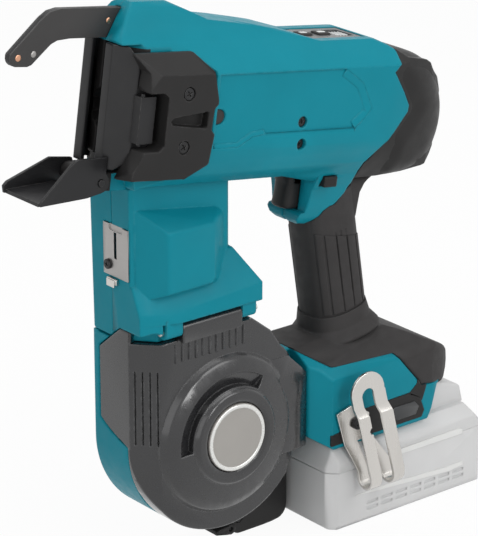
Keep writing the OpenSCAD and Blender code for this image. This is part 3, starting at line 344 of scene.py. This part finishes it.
def round_edges(ob, width, segments=2):
    me = ob.data
    rows = edge_facts(me, width)
    p, q = ends_of(me)
    weight = np.zeros(len(p))
    sharp = np.zeros(len(p), dtype=bool)
    for a, b, share in rows:
        a, b = np.array(a), np.array(b)
        span = np.linalg.norm(b - a)
        d = (b - a) / span
        on = np.ones(len(p), dtype=bool)
        for pt in (p, q):
            r = pt - a
            s = r @ d
            on &= np.linalg.norm(r - s[:, None] * d, axis=1) < ON_LINE
            on &= (s > -ON_LINE) & (s < span + ON_LINE)
        weight[on] = share
        sharp[on] = share == 0.0
    wa = me.attributes.new("bevel_weight_edge", "FLOAT", "EDGE")
    sa = me.attributes.get("sharp_edge") or me.attributes.new("sharp_edge", "BOOLEAN", "EDGE")
    for poly in me.polygons:
        poly.use_smooth = True
    weld = ob.modifiers.new("weld", "WELD")
    weld.merge_threshold = WELD
    plain = ob.modifiers.new("plain", "DECIMATE")
    plain.decimate_type = "DISSOLVE"
    plain.angle_limit = FLAT
    bev = ob.modifiers.new("edge", "BEVEL")
    bev.limit_method = "WEIGHT"
    bev.width = width
    bev.segments = segments
    bev.use_clamp_overlap = False
    for _ in range(TRIES):
        wa.data.foreach_set("value", weight)
        sa.data.foreach_set("value", sharp)
        me.update()
        spots = crossings(ob)
        if not len(spots):
            break
        mid = (p + q) / 2
        far = np.linalg.norm(p - q, axis=1) / 2 + 2.0 * width
        for spot in spots:
            near = (np.linalg.norm(mid - spot, axis=1) < far) & (weight > 0)
            weight[near] = 0.0
            sharp[near] = True
    wn = ob.modifiers.new("normals", "WEIGHTED_NORMAL")
    wn.keep_sharp = True


# Bevel widths in millimetres; wide ones get more segments
WIDE_MM = 3.0
edge_mm = {
    "left_housing": 1.6, "right_housing": 1.6, "rear_cover": 6.0, "side_cover_left": 1.4,
    "side_cover_right": 1.4, "contact_plate_left": 0.8, "contact_plate_right": 0.8, "contact_arms": 0.8,
    "upper_guide_core": 0.3, "upper_guide_cheeks": 0.4, "lower_guide": 0.5, "wire_guide_plate": 0.3,
    "sight_window": 0.4, "reel_case": 1.6, "reel_cover": 1.2, "case_foot": 1.4, "cover_latch": 0.6,
    "base_left": 1.6, "base_right": 1.6, "base_top": 1.8, "base_bands": 0.3, "trigger_lock": 0.8,
    "control_panel": 0.4, "power_button": 0.7, "mode_button": 0.7, "battery_case": 1.6,
    "battery_lid": 1.6, "battery_button": 1.0, "belt_hook": 0.4, "cover_badge": 0.4, "grip": 1.2,
}
for name, width in edge_mm.items():
    round_edges(nodes[name], width * MM, 5 if width > WIDE_MM else 2)


# Detail pieces, placed with the numbers of the CAD model in millimetres
def barrel(u, y, w):
    c, s = math.cos(TILT), math.sin(TILT)
    return Vector((NOSE_X + u * c + w * s, y, NOSE_Z - u * s + w * c))


def place(origin, out, along):
    """Matrix whose z axis points out of the surface and whose x axis lies along it."""
    z = Vector(out).normalized()
    x = Vector(along)
    x = (x - z * x.dot(z)).normalized()
    m = Matrix((x, z.cross(x), z)).transposed().to_4x4()
    m.translation = origin
    return m


def put(name, bm, mat, body, angle=35.0):
    bmesh.ops.recalc_face_normals(bm, faces=bm.faces[:])
    me = bpy.data.meshes.new(name)
    bm.to_mesh(me)
    bm.free()
    me.transform(Matrix.Scale(MM, 4))
    for poly in me.polygons:
        poly.use_smooth = True
    me.set_sharp_from_angle(angle=math.radians(angle))
    me.materials.append(mat)
    ob = bpy.data.objects.new(name, me)
    scene.collection.objects.link(ob)
    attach(ob, body)
    return ob


def skin(bm, loops, closed=False):
    """Faces between neighbouring loops, and from the last back to the first if closed."""
    pairs = list(zip(loops, loops[1:])) + ([(loops[-1], loops[0])] if closed else [])
    for a, b in pairs:
        for i in range(len(a)):
            j = (i + 1) % len(a)
            bm.faces.new((a[i], a[j], b[j], b[i]))


def ring_of(bm, m, r, z, n):
    turns = [2 * math.pi * i / n for i in range(n)]
    return [bm.verts.new(m @ Vector((r * math.cos(a), r * math.sin(a), z))) for a in turns]


def screw(bm, m, r, head, shank_r, shank, n=36):
    """Pan head with a cross recess and a threaded shank; the head's top is at z 0."""
    prof = [(r - 0.5, 0.0), (r - 0.16, -0.16), (r, -0.5), (r, -head), (shank_r, -head)]
    pitch = 0.7
    turns = max(2, int((shank - 1.0) / pitch))
    for k in range(turns):
        z = -head - 0.3 - k * pitch
        prof += [(shank_r - 0.02, z), (shank_r - 0.28, z - pitch / 2)]
    prof.append((shank_r * 0.6, -head - shank + 0.05))
    loops = [ring_of(bm, m, pr, pz, n) for pr, pz in prof]
    skin(bm, loops)
    bm.faces.new(loops[-1])
    reach, half, deep = 0.6 * r, 0.13 * r, 0.32 * r
    cross = []
    for k in range(4):
        a = k * math.pi / 2
        for px, py in ((half, -half), (reach, -half), (reach, half)):
            cross.append((px * math.cos(a) - py * math.sin(a), px * math.sin(a) + py * math.cos(a)))
    rim = [bm.verts.new(m @ Vector((px, py, 0.0))) for px, py in cross]
    low = [bm.verts.new(m @ Vector((px * 0.62, py * 0.62, -deep))) for px, py in cross]
    skin(bm, [rim, low])
    floor_face = bm.faces.new(low)
    edges = [bm.edges.get((a, b)) for lp in (rim, loops[0]) for a, b in zip(lp, lp[1:] + lp[:1])]
    bmesh.ops.triangle_fill(bm, edges=edges, use_beauty=True)
    bmesh.ops.triangulate(bm, faces=[floor_face])


PILL_FOOT, PLATE_FOOT = -0.2, -0.3


def pill(bm, m, length, width, height, n=8):
    """Rounded bar with a softened top; it rises from z 0 and its foot is sunk a little."""
    loops = []
    steps = ((0.0, PILL_FOOT), (0.0, height * 0.55), (width * 0.06, height * 0.85), (width * 0.2, height))
    for inset, z in steps:
        r = width / 2 - inset
        s = (length - width) / 2
        loop = []
        for cx, a0 in ((s, -90.0), (-s, 90.0)):
            for k in range(n + 1):
                a = math.radians(a0 + 180.0 * k / n)
                loop.append(bm.verts.new(m @ Vector((cx + r * math.cos(a), r * math.sin(a), z))))
        loops.append(loop)
    skin(bm, loops)
    bm.faces.new(loops[-1])
    bm.faces.new(loops[0][::-1])


def plate(bm, m, outline, height, soft=0.25):
    """Flat raised plate with a softened rim; its foot is sunk a little."""
    cx = sum(p[0] for p in outline) / len(outline)
    cy = sum(p[1] for p in outline) / len(outline)
    loops = []
    for inset, z in ((0.0, PLATE_FOOT), (0.0, height * 0.6), (soft, height)):
        loop = []
        for px, py in outline:
            d = Vector((cx - px, cy - py))
            d = d.normalized() * inset
            loop.append(bm.verts.new(m @ Vector((px + d.x, py + d.y, z))))
        loops.append(loop)
    skin(bm, loops)
    bm.faces.new(loops[-1])
    bm.faces.new(loops[0][::-1])


# Screws with cross recesses: in the housing flanks, in the side covers of the nose, then in the fittings
FLANK_SCREW_U, FLANK_SCREW_Y = 128.0, 31.6
FLANK_SCREW_W = (-6.0, -19.0)
COVER_SCREW_U, COVER_SCREW_W = 38.6, 15.2
COVER_FACE = {-1.0: 36.6, 1.0: 31.1}
COVER_SEAT = 15.1
GUIDE_SCREW = Vector((-195.4, 2.2, 195.5))
FOOT_SCREW = Vector((-102.5, -2.6, 10.0))
HOOK_SCREW = Vector((-42.0, -44.0, 69.6))
bm = bmesh.new()
for sy in SIDES:
    for w in FLANK_SCREW_W:
        twist = barrel(1, 0, 0.3) - barrel(0, 0, 0)
        spot = place(barrel(FLANK_SCREW_U, sy * FLANK_SCREW_Y, w), (0, sy, 0), twist)
        screw(bm, spot, 3.2, 2.5, 1.4, 5.6)
    for w in (-COVER_SCREW_W, COVER_SCREW_W):
        twist = barrel(1, 0, 0.6) - barrel(0, 0, 0)
        spot = place(barrel(COVER_SCREW_U, sy * COVER_FACE[sy], w), (0, sy, 0), twist)
        screw(bm, spot, 3.6, 2.0, 1.6, COVER_FACE[sy] - COVER_SEAT)
ob = put("housing_screw_set", bm, mats["black_steel"], "housing")
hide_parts("housing_screws")

bm = bmesh.new()
screw(bm, place(GUIDE_SCREW, (-1, 0, 0), (0, 1, 0.35)), 3.0, 1.6, 1.55, 2.3)
screw(bm, place(FOOT_SCREW, (0, -1, 0), (1, 0, 0.5)), 3.0, 2.0, 1.4, 11.6)
screw(bm, place(HOOK_SCREW, (0, -1, 0), (1, 0, 0.4)), 3.6, 2.4, 1.95, 14.6)
ob = put("fitting_screw_set", bm, mats["black_steel"], "housing")
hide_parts("fitting_screws")

# Bright ring round the blank disc of the reel cover
REEL_X, REEL_Z = -132.0, 84.0
BADGE_FACE = 38.2
RING_IN, RING_OUT, RING_FOOT = 18.3, 20.6, -0.3
RING_SIDES = 96
bm = bmesh.new()
m = place(Vector((REEL_X, -BADGE_FACE, REEL_Z)), (0, -1, 0), (1, 0, 0))
prof = [(RING_IN, RING_FOOT), (RING_IN, 0.1), (RING_IN + 0.3, 0.38), (RING_IN + 0.6, 0.5),
        (RING_OUT - 0.6, 0.5), (RING_OUT - 0.3, 0.38), (RING_OUT, 0.1), (RING_OUT, RING_FOOT)]
skin(bm, [ring_of(bm, m, r, z, RING_SIDES) for r, z in prof], closed=True)
put("badge_ring", bm, mats["badge_rim"], "cover")

# Control panel: light bars and key marks
LIGHTS, LIGHT_U, LIGHT_STEP = 4, 173.0, 2.4
PANEL_W, KEY_TOP_W = 37.1, 39.1
LIGHT_SIZE, KEY_MARK_SIZE = (9.0, 1.5, 0.6), (6.0, 3.4, 0.18)
up = barrel(0, 0, 1) - barrel(0, 0, 0)
aft = barrel(1, 0, 0) - barrel(0, 0, 0)
bm = bmesh.new()
for k in range(LIGHTS):
    pill(bm, place(barrel(LIGHT_U + LIGHT_STEP * k, 0.0, PANEL_W), up, (0, 1, 0)), *LIGHT_SIZE)
put("panel_lights", bm, mats["lens"], "housing")
for body, u in (("power_key", 149.0), ("mode_key", 163.0)):
    bm = bmesh.new()
    pill(bm, place(barrel(u, 0.0, KEY_TOP_W), up, aft), *KEY_MARK_SIZE)
    put(body + "_mark", bm, mats["lens"], body)

# Moulded bars on the battery's flanks
BATTERY_HALF = 39.0
BAR_RISE = 0.45
bar_outlines = (
    [(-5.0, 40.6), (45.9, 41.2), (49.2, 39.4), (49.3, 36.8), (-4.0, 37.4)],
    [(-40.0, 19.9), (-20.8, 20.4), (34.1, 17.4), (50.0, 17.6), (50.1, 15.2), (39.0, 13.9), (-18.7, 17.9)],
)


def flank(sy, half):
    """Matrix of a flat side face: x along the tool, y up, z outward."""
    return Matrix(((1, 0, 0, 0), (0, 0, sy, sy * half), (0, 1, 0, 0), (0, 0, 0, 1)))


bm = bmesh.new()
for sy in SIDES:
    for outline in bar_outlines:
        plate(bm, flank(sy, BATTERY_HALF), outline, BAR_RISE)
put("battery_flank_bars", bm, mats["pack_light"], "battery")

# Bare raised plate on each side band
BAND_HALF = 39.3
plate_outline = [(-12.1, 68.0), (-9.1, 70.2), (7.2, 70.2), (11.0, 66.0), (8.5, 61.2), (-7.4, 61.2)]
bm = bmesh.new()
for sy in SIDES:
    plate(bm, flank(sy, BAND_HALF), plate_outline, 0.6, 0.4)
put("band_plates", bm, mats["panel"], "housing")

# Trigger with a rounded finger face, inside the outline of its solid
TRIGGER_HALF, TRIGGER_CUT = 7.95, 1.0
FINGER_R, FINGER_ROOM, FINGER_POWER, FINGER_STEPS = 6.2, 1.2, 0.8, 16
STEM_HALF, STEM_TOP, STEM_LOW, STEM_CUT = 4.0, -52.5, -58.5, 0.8


def trigger_loop(bm, front, back, half, w, inset):
    """One section of the trigger at height w: a round finger face and a back with cut corners."""
    front, back, half = front + inset, back - inset, half - inset
    r = min(FINGER_R, back - front - FINGER_ROOM)
    pts = []
    for i in range(FINGER_STEPS + 1):
        a = math.radians(90.0 + 180.0 * i / FINGER_STEPS)
        c, s = [math.copysign(abs(v) ** FINGER_POWER, v) for v in (math.cos(a), math.sin(a))]
        pts.append((front + r + r * c, half * s))
    cut = TRIGGER_CUT
    pts += [(back - cut, -half), (back, -half + cut), (back, half - cut), (back - cut, half)]
    return [bm.verts.new(barrel(MOTOR_U + u, y, w)) for u, y in pts]


# Sections of the blade as front, back and height, then the heights and insets of its tip
rows = [(-18.0, -11.5, -42.6), (-17.6, -11.5, -45.5), (-17.2, -11.5, -48.4), (-17.08, -11.5, -50.5),
        (-17.06, -7.0, -50.7), (-17.0, -7.0, -53.0), (-17.05, -7.0, -56.0), (-17.3, -7.0, -59.5),
        (-17.75, -7.0, -62.5), (-18.1, -7.0, -64.6)]
tip = ((-65.5, 0.35), (-66.1, 1.0), (-66.35, 2.0))
TIP_FRONT, TIP_BACK = -18.2, -7.0
# Sections of the stem behind it as place along the barrel and inset
stem_steps = ((-7.4, 0.0), (0.9, 0.0), (1.4, 0.5))
bm = bmesh.new()
loops = [trigger_loop(bm, f, b, TRIGGER_HALF, w, 0.0) for f, b, w in rows]
loops += [trigger_loop(bm, TIP_FRONT, TIP_BACK, TRIGGER_HALF, w, inset) for w, inset in tip]
skin(bm, loops)
bm.faces.new(loops[0])
bm.faces.new(loops[-1])
stem = []
for u, inset in stem_steps:
    y, top, low = STEM_HALF - inset, STEM_TOP - inset, STEM_LOW + inset
    half = [(y - STEM_CUT, top), (y, top - STEM_CUT), (y, low + STEM_CUT), (y - STEM_CUT, low)]
    ring = half + [(-py, pw) for py, pw in reversed(half)]
    stem.append([bm.verts.new(barrel(MOTOR_U + u, py, pw)) for py, pw in ring])
skin(bm, stem)
bm.faces.new(stem[0])
bm.faces.new(stem[-1])
ob = put("trigger_blade_round", bm, mats["dark_plastic"], "trigger_blade", 50.0)
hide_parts("trigger")

# Dark joint between the side band and the base top
BASE_HALF = 39.0
joint_outline = [(2.6, 76.0), (11.4, 71.6), (13.8, 68.8), (16.7, 76.2), (17.4, 78.8), (13.0, 79.4),
                 (10.1, 83.9), (9.2, 81.4)]
bm = bmesh.new()
for sy in SIDES:
    plate(bm, flank(sy, BASE_HALF), joint_outline, 0.3, 0.12)
put("band_joints", bm, mats["dark_plastic"], "housing")

# D-shaped plugs in the flanks
PLUG_R, PLUG_FLAT = 4.25, -2.75
PLUG_U, PLUG_SEAT = 65.0, 31.2
turns = [math.radians(a) for a in range(-90, 91, 12)]
arc = [(PLUG_R * math.cos(a), PLUG_R * math.sin(a)) for a in turns]
bm = bmesh.new()
aft_way, up_way = aft.normalized(), up.normalized()
for sy in SIDES:
    m = Matrix((aft_way, up_way, Vector((0, sy, 0)))).transposed().to_4x4()
    m.translation = barrel(PLUG_U, sy * PLUG_SEAT, 0.0)
    plate(bm, m, [(PLUG_FLAT, PLUG_R), (PLUG_FLAT, -PLUG_R)] + arc, 0.8, 0.3)
put("flank_plugs", bm, mats["elastomer"], "housing")


# Domed rivet heads on the upper guide
def dome(bm, m, r, height, foot, n=24):
    prof = [(r, -foot), (r, height * 0.25), (r * 0.85, height * 0.7), (r * 0.5, height * 0.93)]
    loops = [ring_of(bm, m, pr, pz, n) for pr, pz in prof]
    skin(bm, loops)
    bm.faces.new(loops[-1])
    bm.faces.new(loops[0][::-1])


# Each head: place along the barrel, height, radius and depth of its foot
CHEEK_FACE, HEAD_RISE = 2.4, 0.35
copper_heads = ((-55.1, 31.4, 1.9, 0.05), (3.5, 50.7, 1.55, 0.9))
steel_heads = ((-45.0, 33.1, 1.9, 0.05),)
for name, heads, mat, slot in (("rivet_heads_copper", copper_heads, "bronze", "bronze"),
                               ("rivet_heads_steel", steel_heads, "plate_steel", "steel")):
    bm = bmesh.new()
    for sy in SIDES:
        for u, w, r, foot in heads:
            dome(bm, place(barrel(u, sy * CHEEK_FACE, w), (0, sy, 0), aft), r, HEAD_RISE, foot)
    put(name, bm, mats[mat], "housing")


# Sloped borders of the flank flats
FLANK_FACE, FLAT_FLOOR, WEDGE_FOOT = 33.96, 32.74, 0.3
aft_border = [(168.0, -11.2), (177.0, -4.0), (180.0, 0.0), (170.6, 15.5), (156.5, 24.3)]
low_border = [(63.0, -18.0), (80.0, -18.0), (90.0, -12.5), (99.0, -11.2)]


def border(bm, line, reach, sy):
    """Wedge along a line of barrel points, falling from the flank to the floor of the flat."""
    foot = FLAT_FLOOR - WEDGE_FOOT
    pts = [Vector(q) for q in line]
    loops = []
    for i, q in enumerate(pts):
        d = (pts[min(i + 1, len(pts) - 1)] - pts[max(i - 1, 0)]).normalized()
        inner = q + Vector((-d.y, d.x)) * reach
        back = q - Vector((-d.y, d.x)) * WEDGE_FOOT
        ring = ((back, foot), (back, FLANK_FACE), (q, FLANK_FACE), (inner, FLAT_FLOOR + 0.02), (inner, foot))
        loops.append([bm.verts.new(barrel(c.x, sy * y, c.y)) for c, y in ring])
    skin(bm, loops)
    bm.faces.new(loops[0])
    bm.faces.new(loops[-1][::-1])


bm = bmesh.new()
for sy in SIDES:
    border(bm, aft_border, 5.0, sy)
    border(bm, low_border, 3.0, sy)
put("flank_slopes", bm, mats["teal_plastic"], "housing")


# Smooth skin over the flat facets of the tail, sunk under the surface in front of the chevron edge
TAIL_U, TAIL_W = 205.0, -9.0
TAIL_ROWS, TAIL_COLS = 40, 96
SWEEP, RIM = 104.0, 6.0
OUTSIDE = 200.0
BLUR = 9.0
LIFT, SUNK, SKIN_WALL = 1.6, 2.0, 1.2
BLEND, SINK_RUN, LEAST_SINK = 16.0, 5.0, 0.15
# The chevron edge: heights in barrel axes, and how far behind MOTOR_U it lies there
CHEVRON_W = (-50.0, -42.0, -34.5, -26.5, -16.0, -4.0, -0.2, 8.4, 20.8, 25.6)
CHEVRON_AFT = (21.0, 22.0, 22.0, 28.0, 38.5, 49.2, 49.5, 43.4, 33.0, 38.0)


def solid_tree(names):
    """Search tree of the solids' own faces, in millimetres."""
    verts, faces = [], []
    for name in names:
        ob = nodes[name]
        start = len(verts)
        verts += [ob.matrix_world @ v.co / MM for v in ob.data.vertices]
        faces += [[start + i for i in p.vertices] for p in ob.data.polygons]
    return BVHTree.FromPolygons(verts, faces)


def surface_reach(tree, centre, way):
    """Distance from the centre to the outermost face in one direction."""
    hit = tree.ray_cast(centre + way * OUTSIDE, -way)[0]
    if hit is None:
        hit = tree.find_nearest(centre + way * OUTSIDE)[0]
    return (hit - centre).length


def tail_ways():
    """Directions over the tail: the rear pole, then rings round it."""
    origin = barrel(0, 0, 0)
    ways = [(barrel(1, 0, 0) - origin).normalized()]
    for i in range(1, TAIL_ROWS):
        a = math.radians(SWEEP * i / (TAIL_ROWS - 1))
        for j in range(TAIL_COLS):
            b = 2 * math.pi * j / TAIL_COLS
            q = barrel(math.cos(a), math.sin(a) * math.cos(b), math.sin(a) * math.sin(b)) - origin
            ways.append(q.normalized())
    return ways


def tail_radii(centre, ways):
    """Outer radius of the skin in each direction: the solids' own, blurred and lifted behind the chevron."""
    tree = solid_tree(("rear_cover", "left_housing", "right_housing"))
    reach = np.array([surface_reach(tree, centre, d) for d in ways])
    dirs = np.array([d[:] for d in ways])
    apart = np.arccos(np.clip(dirs @ dirs.T, -1.0, 1.0))
    weight = np.exp(-0.5 * (apart / math.radians(BLUR)) ** 2)
    soft = weight @ reach / weight.sum(axis=1)
    spot = dirs * reach[:, None] + np.array(centre[:]) - np.array((NOSE_X, 0.0, NOSE_Z))
    u = spot[:, 0] * math.cos(TILT) - spot[:, 2] * math.sin(TILT)
    w = spot[:, 0] * math.sin(TILT) + spot[:, 2] * math.cos(TILT)
    behind = u - MOTOR_U - np.interp(w, CHEVRON_W, CHEVRON_AFT)
    behind = np.minimum(behind, SWEEP - RIM - np.degrees(apart[0]))
    share = np.clip(behind / BLEND, 0.0, 1.0)
    share = share * share * (3.0 - 2.0 * share)
    under = reach - SUNK * (LEAST_SINK + np.clip(-behind / SINK_RUN, 0.0, 1.0))
    return under * (1.0 - share) + (soft + LIFT) * share


def tail_skin(bm):
    """Closed shell: an outer and an inner sheet, joined along their rims."""
    centre = barrel(TAIL_U, 0.0, TAIL_W)
    ways = tail_ways()
    outer = tail_radii(centre, ways)
    rims = []
    for radius in (outer, outer - SKIN_WALL):
        vs = [bm.verts.new(centre + d * float(r)) for d, r in zip(ways, radius)]
        loops = [vs[1 + i * TAIL_COLS:1 + (i + 1) * TAIL_COLS] for i in range(TAIL_ROWS - 1)]
        for j in range(TAIL_COLS):
            bm.faces.new((vs[0], loops[0][j], loops[0][(j + 1) % TAIL_COLS]))
        skin(bm, loops)
        rims.append(loops[-1])
    skin(bm, rims)


bm = bmesh.new()
tail_skin(bm)
put("tail_skin", bm, mats["dark_plastic"], "housing", 60.0)


# Raised strips of the grip sleeve, with fine gaps between them
LEAN = math.radians(8.75)
GRIP_X, GRIP_Z = -31.0, 157.5
GRIP_LONG, GRIP_WIDE, GRIP_POWER = 20.0, 17.0, 0.8
STRIP_TOP, STRIP_SLOPE, STRIP_LOW = 24.5, 0.36, -25.0
STRIP_FOOT, STRIP_WALL, STRIP_RISE, STRIP_SOFT = -0.5, 0.25, 0.45, 0.25


def on_grip(t):
    """Point of the grip's oval section at angle t."""
    x = GRIP_LONG * math.copysign(abs(math.cos(t)) ** GRIP_POWER, math.cos(t))
    return Vector((x, GRIP_WIDE * abs(math.sin(t)) ** GRIP_POWER))


def grip_point(x, z, sy, off):
    """Point off the grip's surface, at x across its section and z along it."""
    share = math.copysign((abs(x) / GRIP_LONG) ** (1 / GRIP_POWER), x)
    t = math.acos(max(-1.0, min(1.0, share)))
    q = on_grip(t)
    d = (on_grip(t + 0.01) - on_grip(t - 0.01)).normalized()
    nrm = Vector((d.y, -d.x))
    nrm = nrm if nrm.y > 0 else -nrm
    px, py = q.x + nrm.x * off, sy * (q.y + nrm.y * off)
    c, s = math.cos(LEAN), math.sin(LEAN)
    return Vector((GRIP_X + px * c - z * s, py, GRIP_Z + px * s + z * c))


def strip(bm, x0, x1, sy, n=7):
    """One raised strip of the sleeve, between x0 and x1 across the section."""
    def rim(gap, off):
        xs = [x0 + gap + (x1 - x0 - 2 * gap) * i / (n - 1) for i in range(n)]
        top = [(x, STRIP_TOP - STRIP_SLOPE * x - gap) for x in xs]
        low = [(x, STRIP_LOW + gap) for x in reversed(xs)]
        return [bm.verts.new(grip_point(x, z, sy, off)) for x, z in top + low]

    loops = [rim(0.0, STRIP_FOOT), rim(0.0, STRIP_WALL), rim(STRIP_SOFT, STRIP_RISE)]
    skin(bm, loops)
    for loop in (loops[0], loops[-1]):
        for i in range(n - 1):
            bm.faces.new((loop[i], loop[i + 1], loop[2 * n - 2 - i], loop[2 * n - 1 - i]))


bm = bmesh.new()
for sy in SIDES:
    for x0, x1 in ((-16.5, -12.6), (-11.5, -4.5), (-3.5, 3.5), (4.5, 11.5), (12.6, 16.5)):
        strip(bm, x0, x1, sy)
put("grip_strips", bm, mats["elastomer"], "housing")


# Camera at the viewing angle of the picture, image taken as 478 by 536
cam = bpy.data.cameras.new("camera")
cam.sensor_width = 36.0
cam.sensor_fit = "AUTO"
cam.lens = 188.06
cam_ob = bpy.data.objects.new("camera", cam)
cam_ob.location = (-1.0773, -1.2068, 0.7490)
back = Vector((-0.5899, -0.7284, 0.3486))
cam_ob.rotation_mode = "QUATERNION"
cam_ob.rotation_quaternion = (-back).to_track_quat("-Z", "Y")
scene.collection.objects.link(cam_ob)
scene.camera = cam_ob


# Pale floor and world that show as white to the camera, with a soft shadow on the floor
FLOOR_WHITE = 0.94
WORLD_LIGHT = 0.34


def straight_rays(t):
    """1 for rays from the camera, from gloss and through glass."""
    path = t.nodes.new("ShaderNodeLightPath")
    last = path.outputs["Is Camera Ray"]
    for name in ("Is Glossy Ray", "Is Transmission Ray"):
        top = t.nodes.new("ShaderNodeMath")
        top.operation = "MAXIMUM"
        t.links.new(last, top.inputs[0])
        t.links.new(path.outputs[name], top.inputs[1])
        last = top.outputs[0]
    return last


def seen_white(t, shader, strength, share):
    out = next(n for n in t.nodes if n.type == "OUTPUT_MATERIAL")
    glow = t.nodes.new("ShaderNodeEmission")
    glow.inputs["Color"].default_value = (1.0, 1.0, 1.0, 1.0)
    glow.inputs["Strength"].default_value = strength
    mul = t.nodes.new("ShaderNodeMath")
    mul.operation = "MULTIPLY"
    mul.inputs[1].default_value = share
    t.links.new(straight_rays(t), mul.inputs[0])
    mix = t.nodes.new("ShaderNodeMixShader")
    t.links.new(mul.outputs[0], mix.inputs["Fac"])
    t.links.new(shader, mix.inputs[1])
    t.links.new(glow.outputs[0], mix.inputs[2])
    t.links.new(mix.outputs[0], out.inputs["Surface"])


bpy.ops.mesh.primitive_plane_add(size=12.0, location=(0.0, 0.0, -0.0005))
floor = bpy.context.object
floor.name = "floor"
fm, ft, fb = tree_of("floor_paint")
fb.inputs["Base Color"].default_value = (0.86, 0.86, 0.86, 1.0)
fb.inputs["Roughness"].default_value = 0.9
seen_white(ft, fb.outputs["BSDF"], 1.0, FLOOR_WHITE)
floor.data.materials.append(fm)

world = bpy.data.worlds.new("studio")
scene.world = world
world.use_nodes = True
wt = world.node_tree
wt.nodes.clear()
w_out = wt.nodes.new("ShaderNodeOutputWorld")
w_bg = wt.nodes.new("ShaderNodeBackground")
w_bg.inputs["Color"].default_value = (1.0, 1.0, 1.0, 1.0)
w_mix = wt.nodes.new("ShaderNodeMapRange")
w_mix.inputs["To Min"].default_value = WORLD_LIGHT
w_mix.inputs["To Max"].default_value = 1.0
wt.links.new(straight_rays(wt), w_mix.inputs["Value"])
wt.links.new(w_mix.outputs["Result"], w_bg.inputs["Strength"])
wt.links.new(w_bg.outputs["Background"], w_out.inputs["Surface"])


def lamp(name, spot, aim, size, power):
    data = bpy.data.lights.new(name, "AREA")
    data.shape = "RECTANGLE"
    data.size, data.size_y = size
    data.energy = power
    ob = bpy.data.objects.new(name, data)
    ob.location = spot
    ob.rotation_mode = "QUATERNION"
    ob.rotation_quaternion = (Vector(aim) - Vector(spot)).to_track_quat("-Z", "Y")
    scene.collection.objects.link(ob)


aim = (-0.08, 0.0, 0.17)
lamp("key", (0.5, -1.5, 1.5), aim, (1.2, 1.2), 15.0)
lamp("fill", (-1.7, -0.6, 0.7), aim, (1.4, 1.4), 6.0)
lamp("top", (-0.1, 0.2, 1.9), aim, (1.6, 1.6), 17.0)
lamp("strip", (-0.28, -1.9, 0.85), aim, (0.3, 0.8), 8.0)

scene.view_settings.view_transform = "Standard"
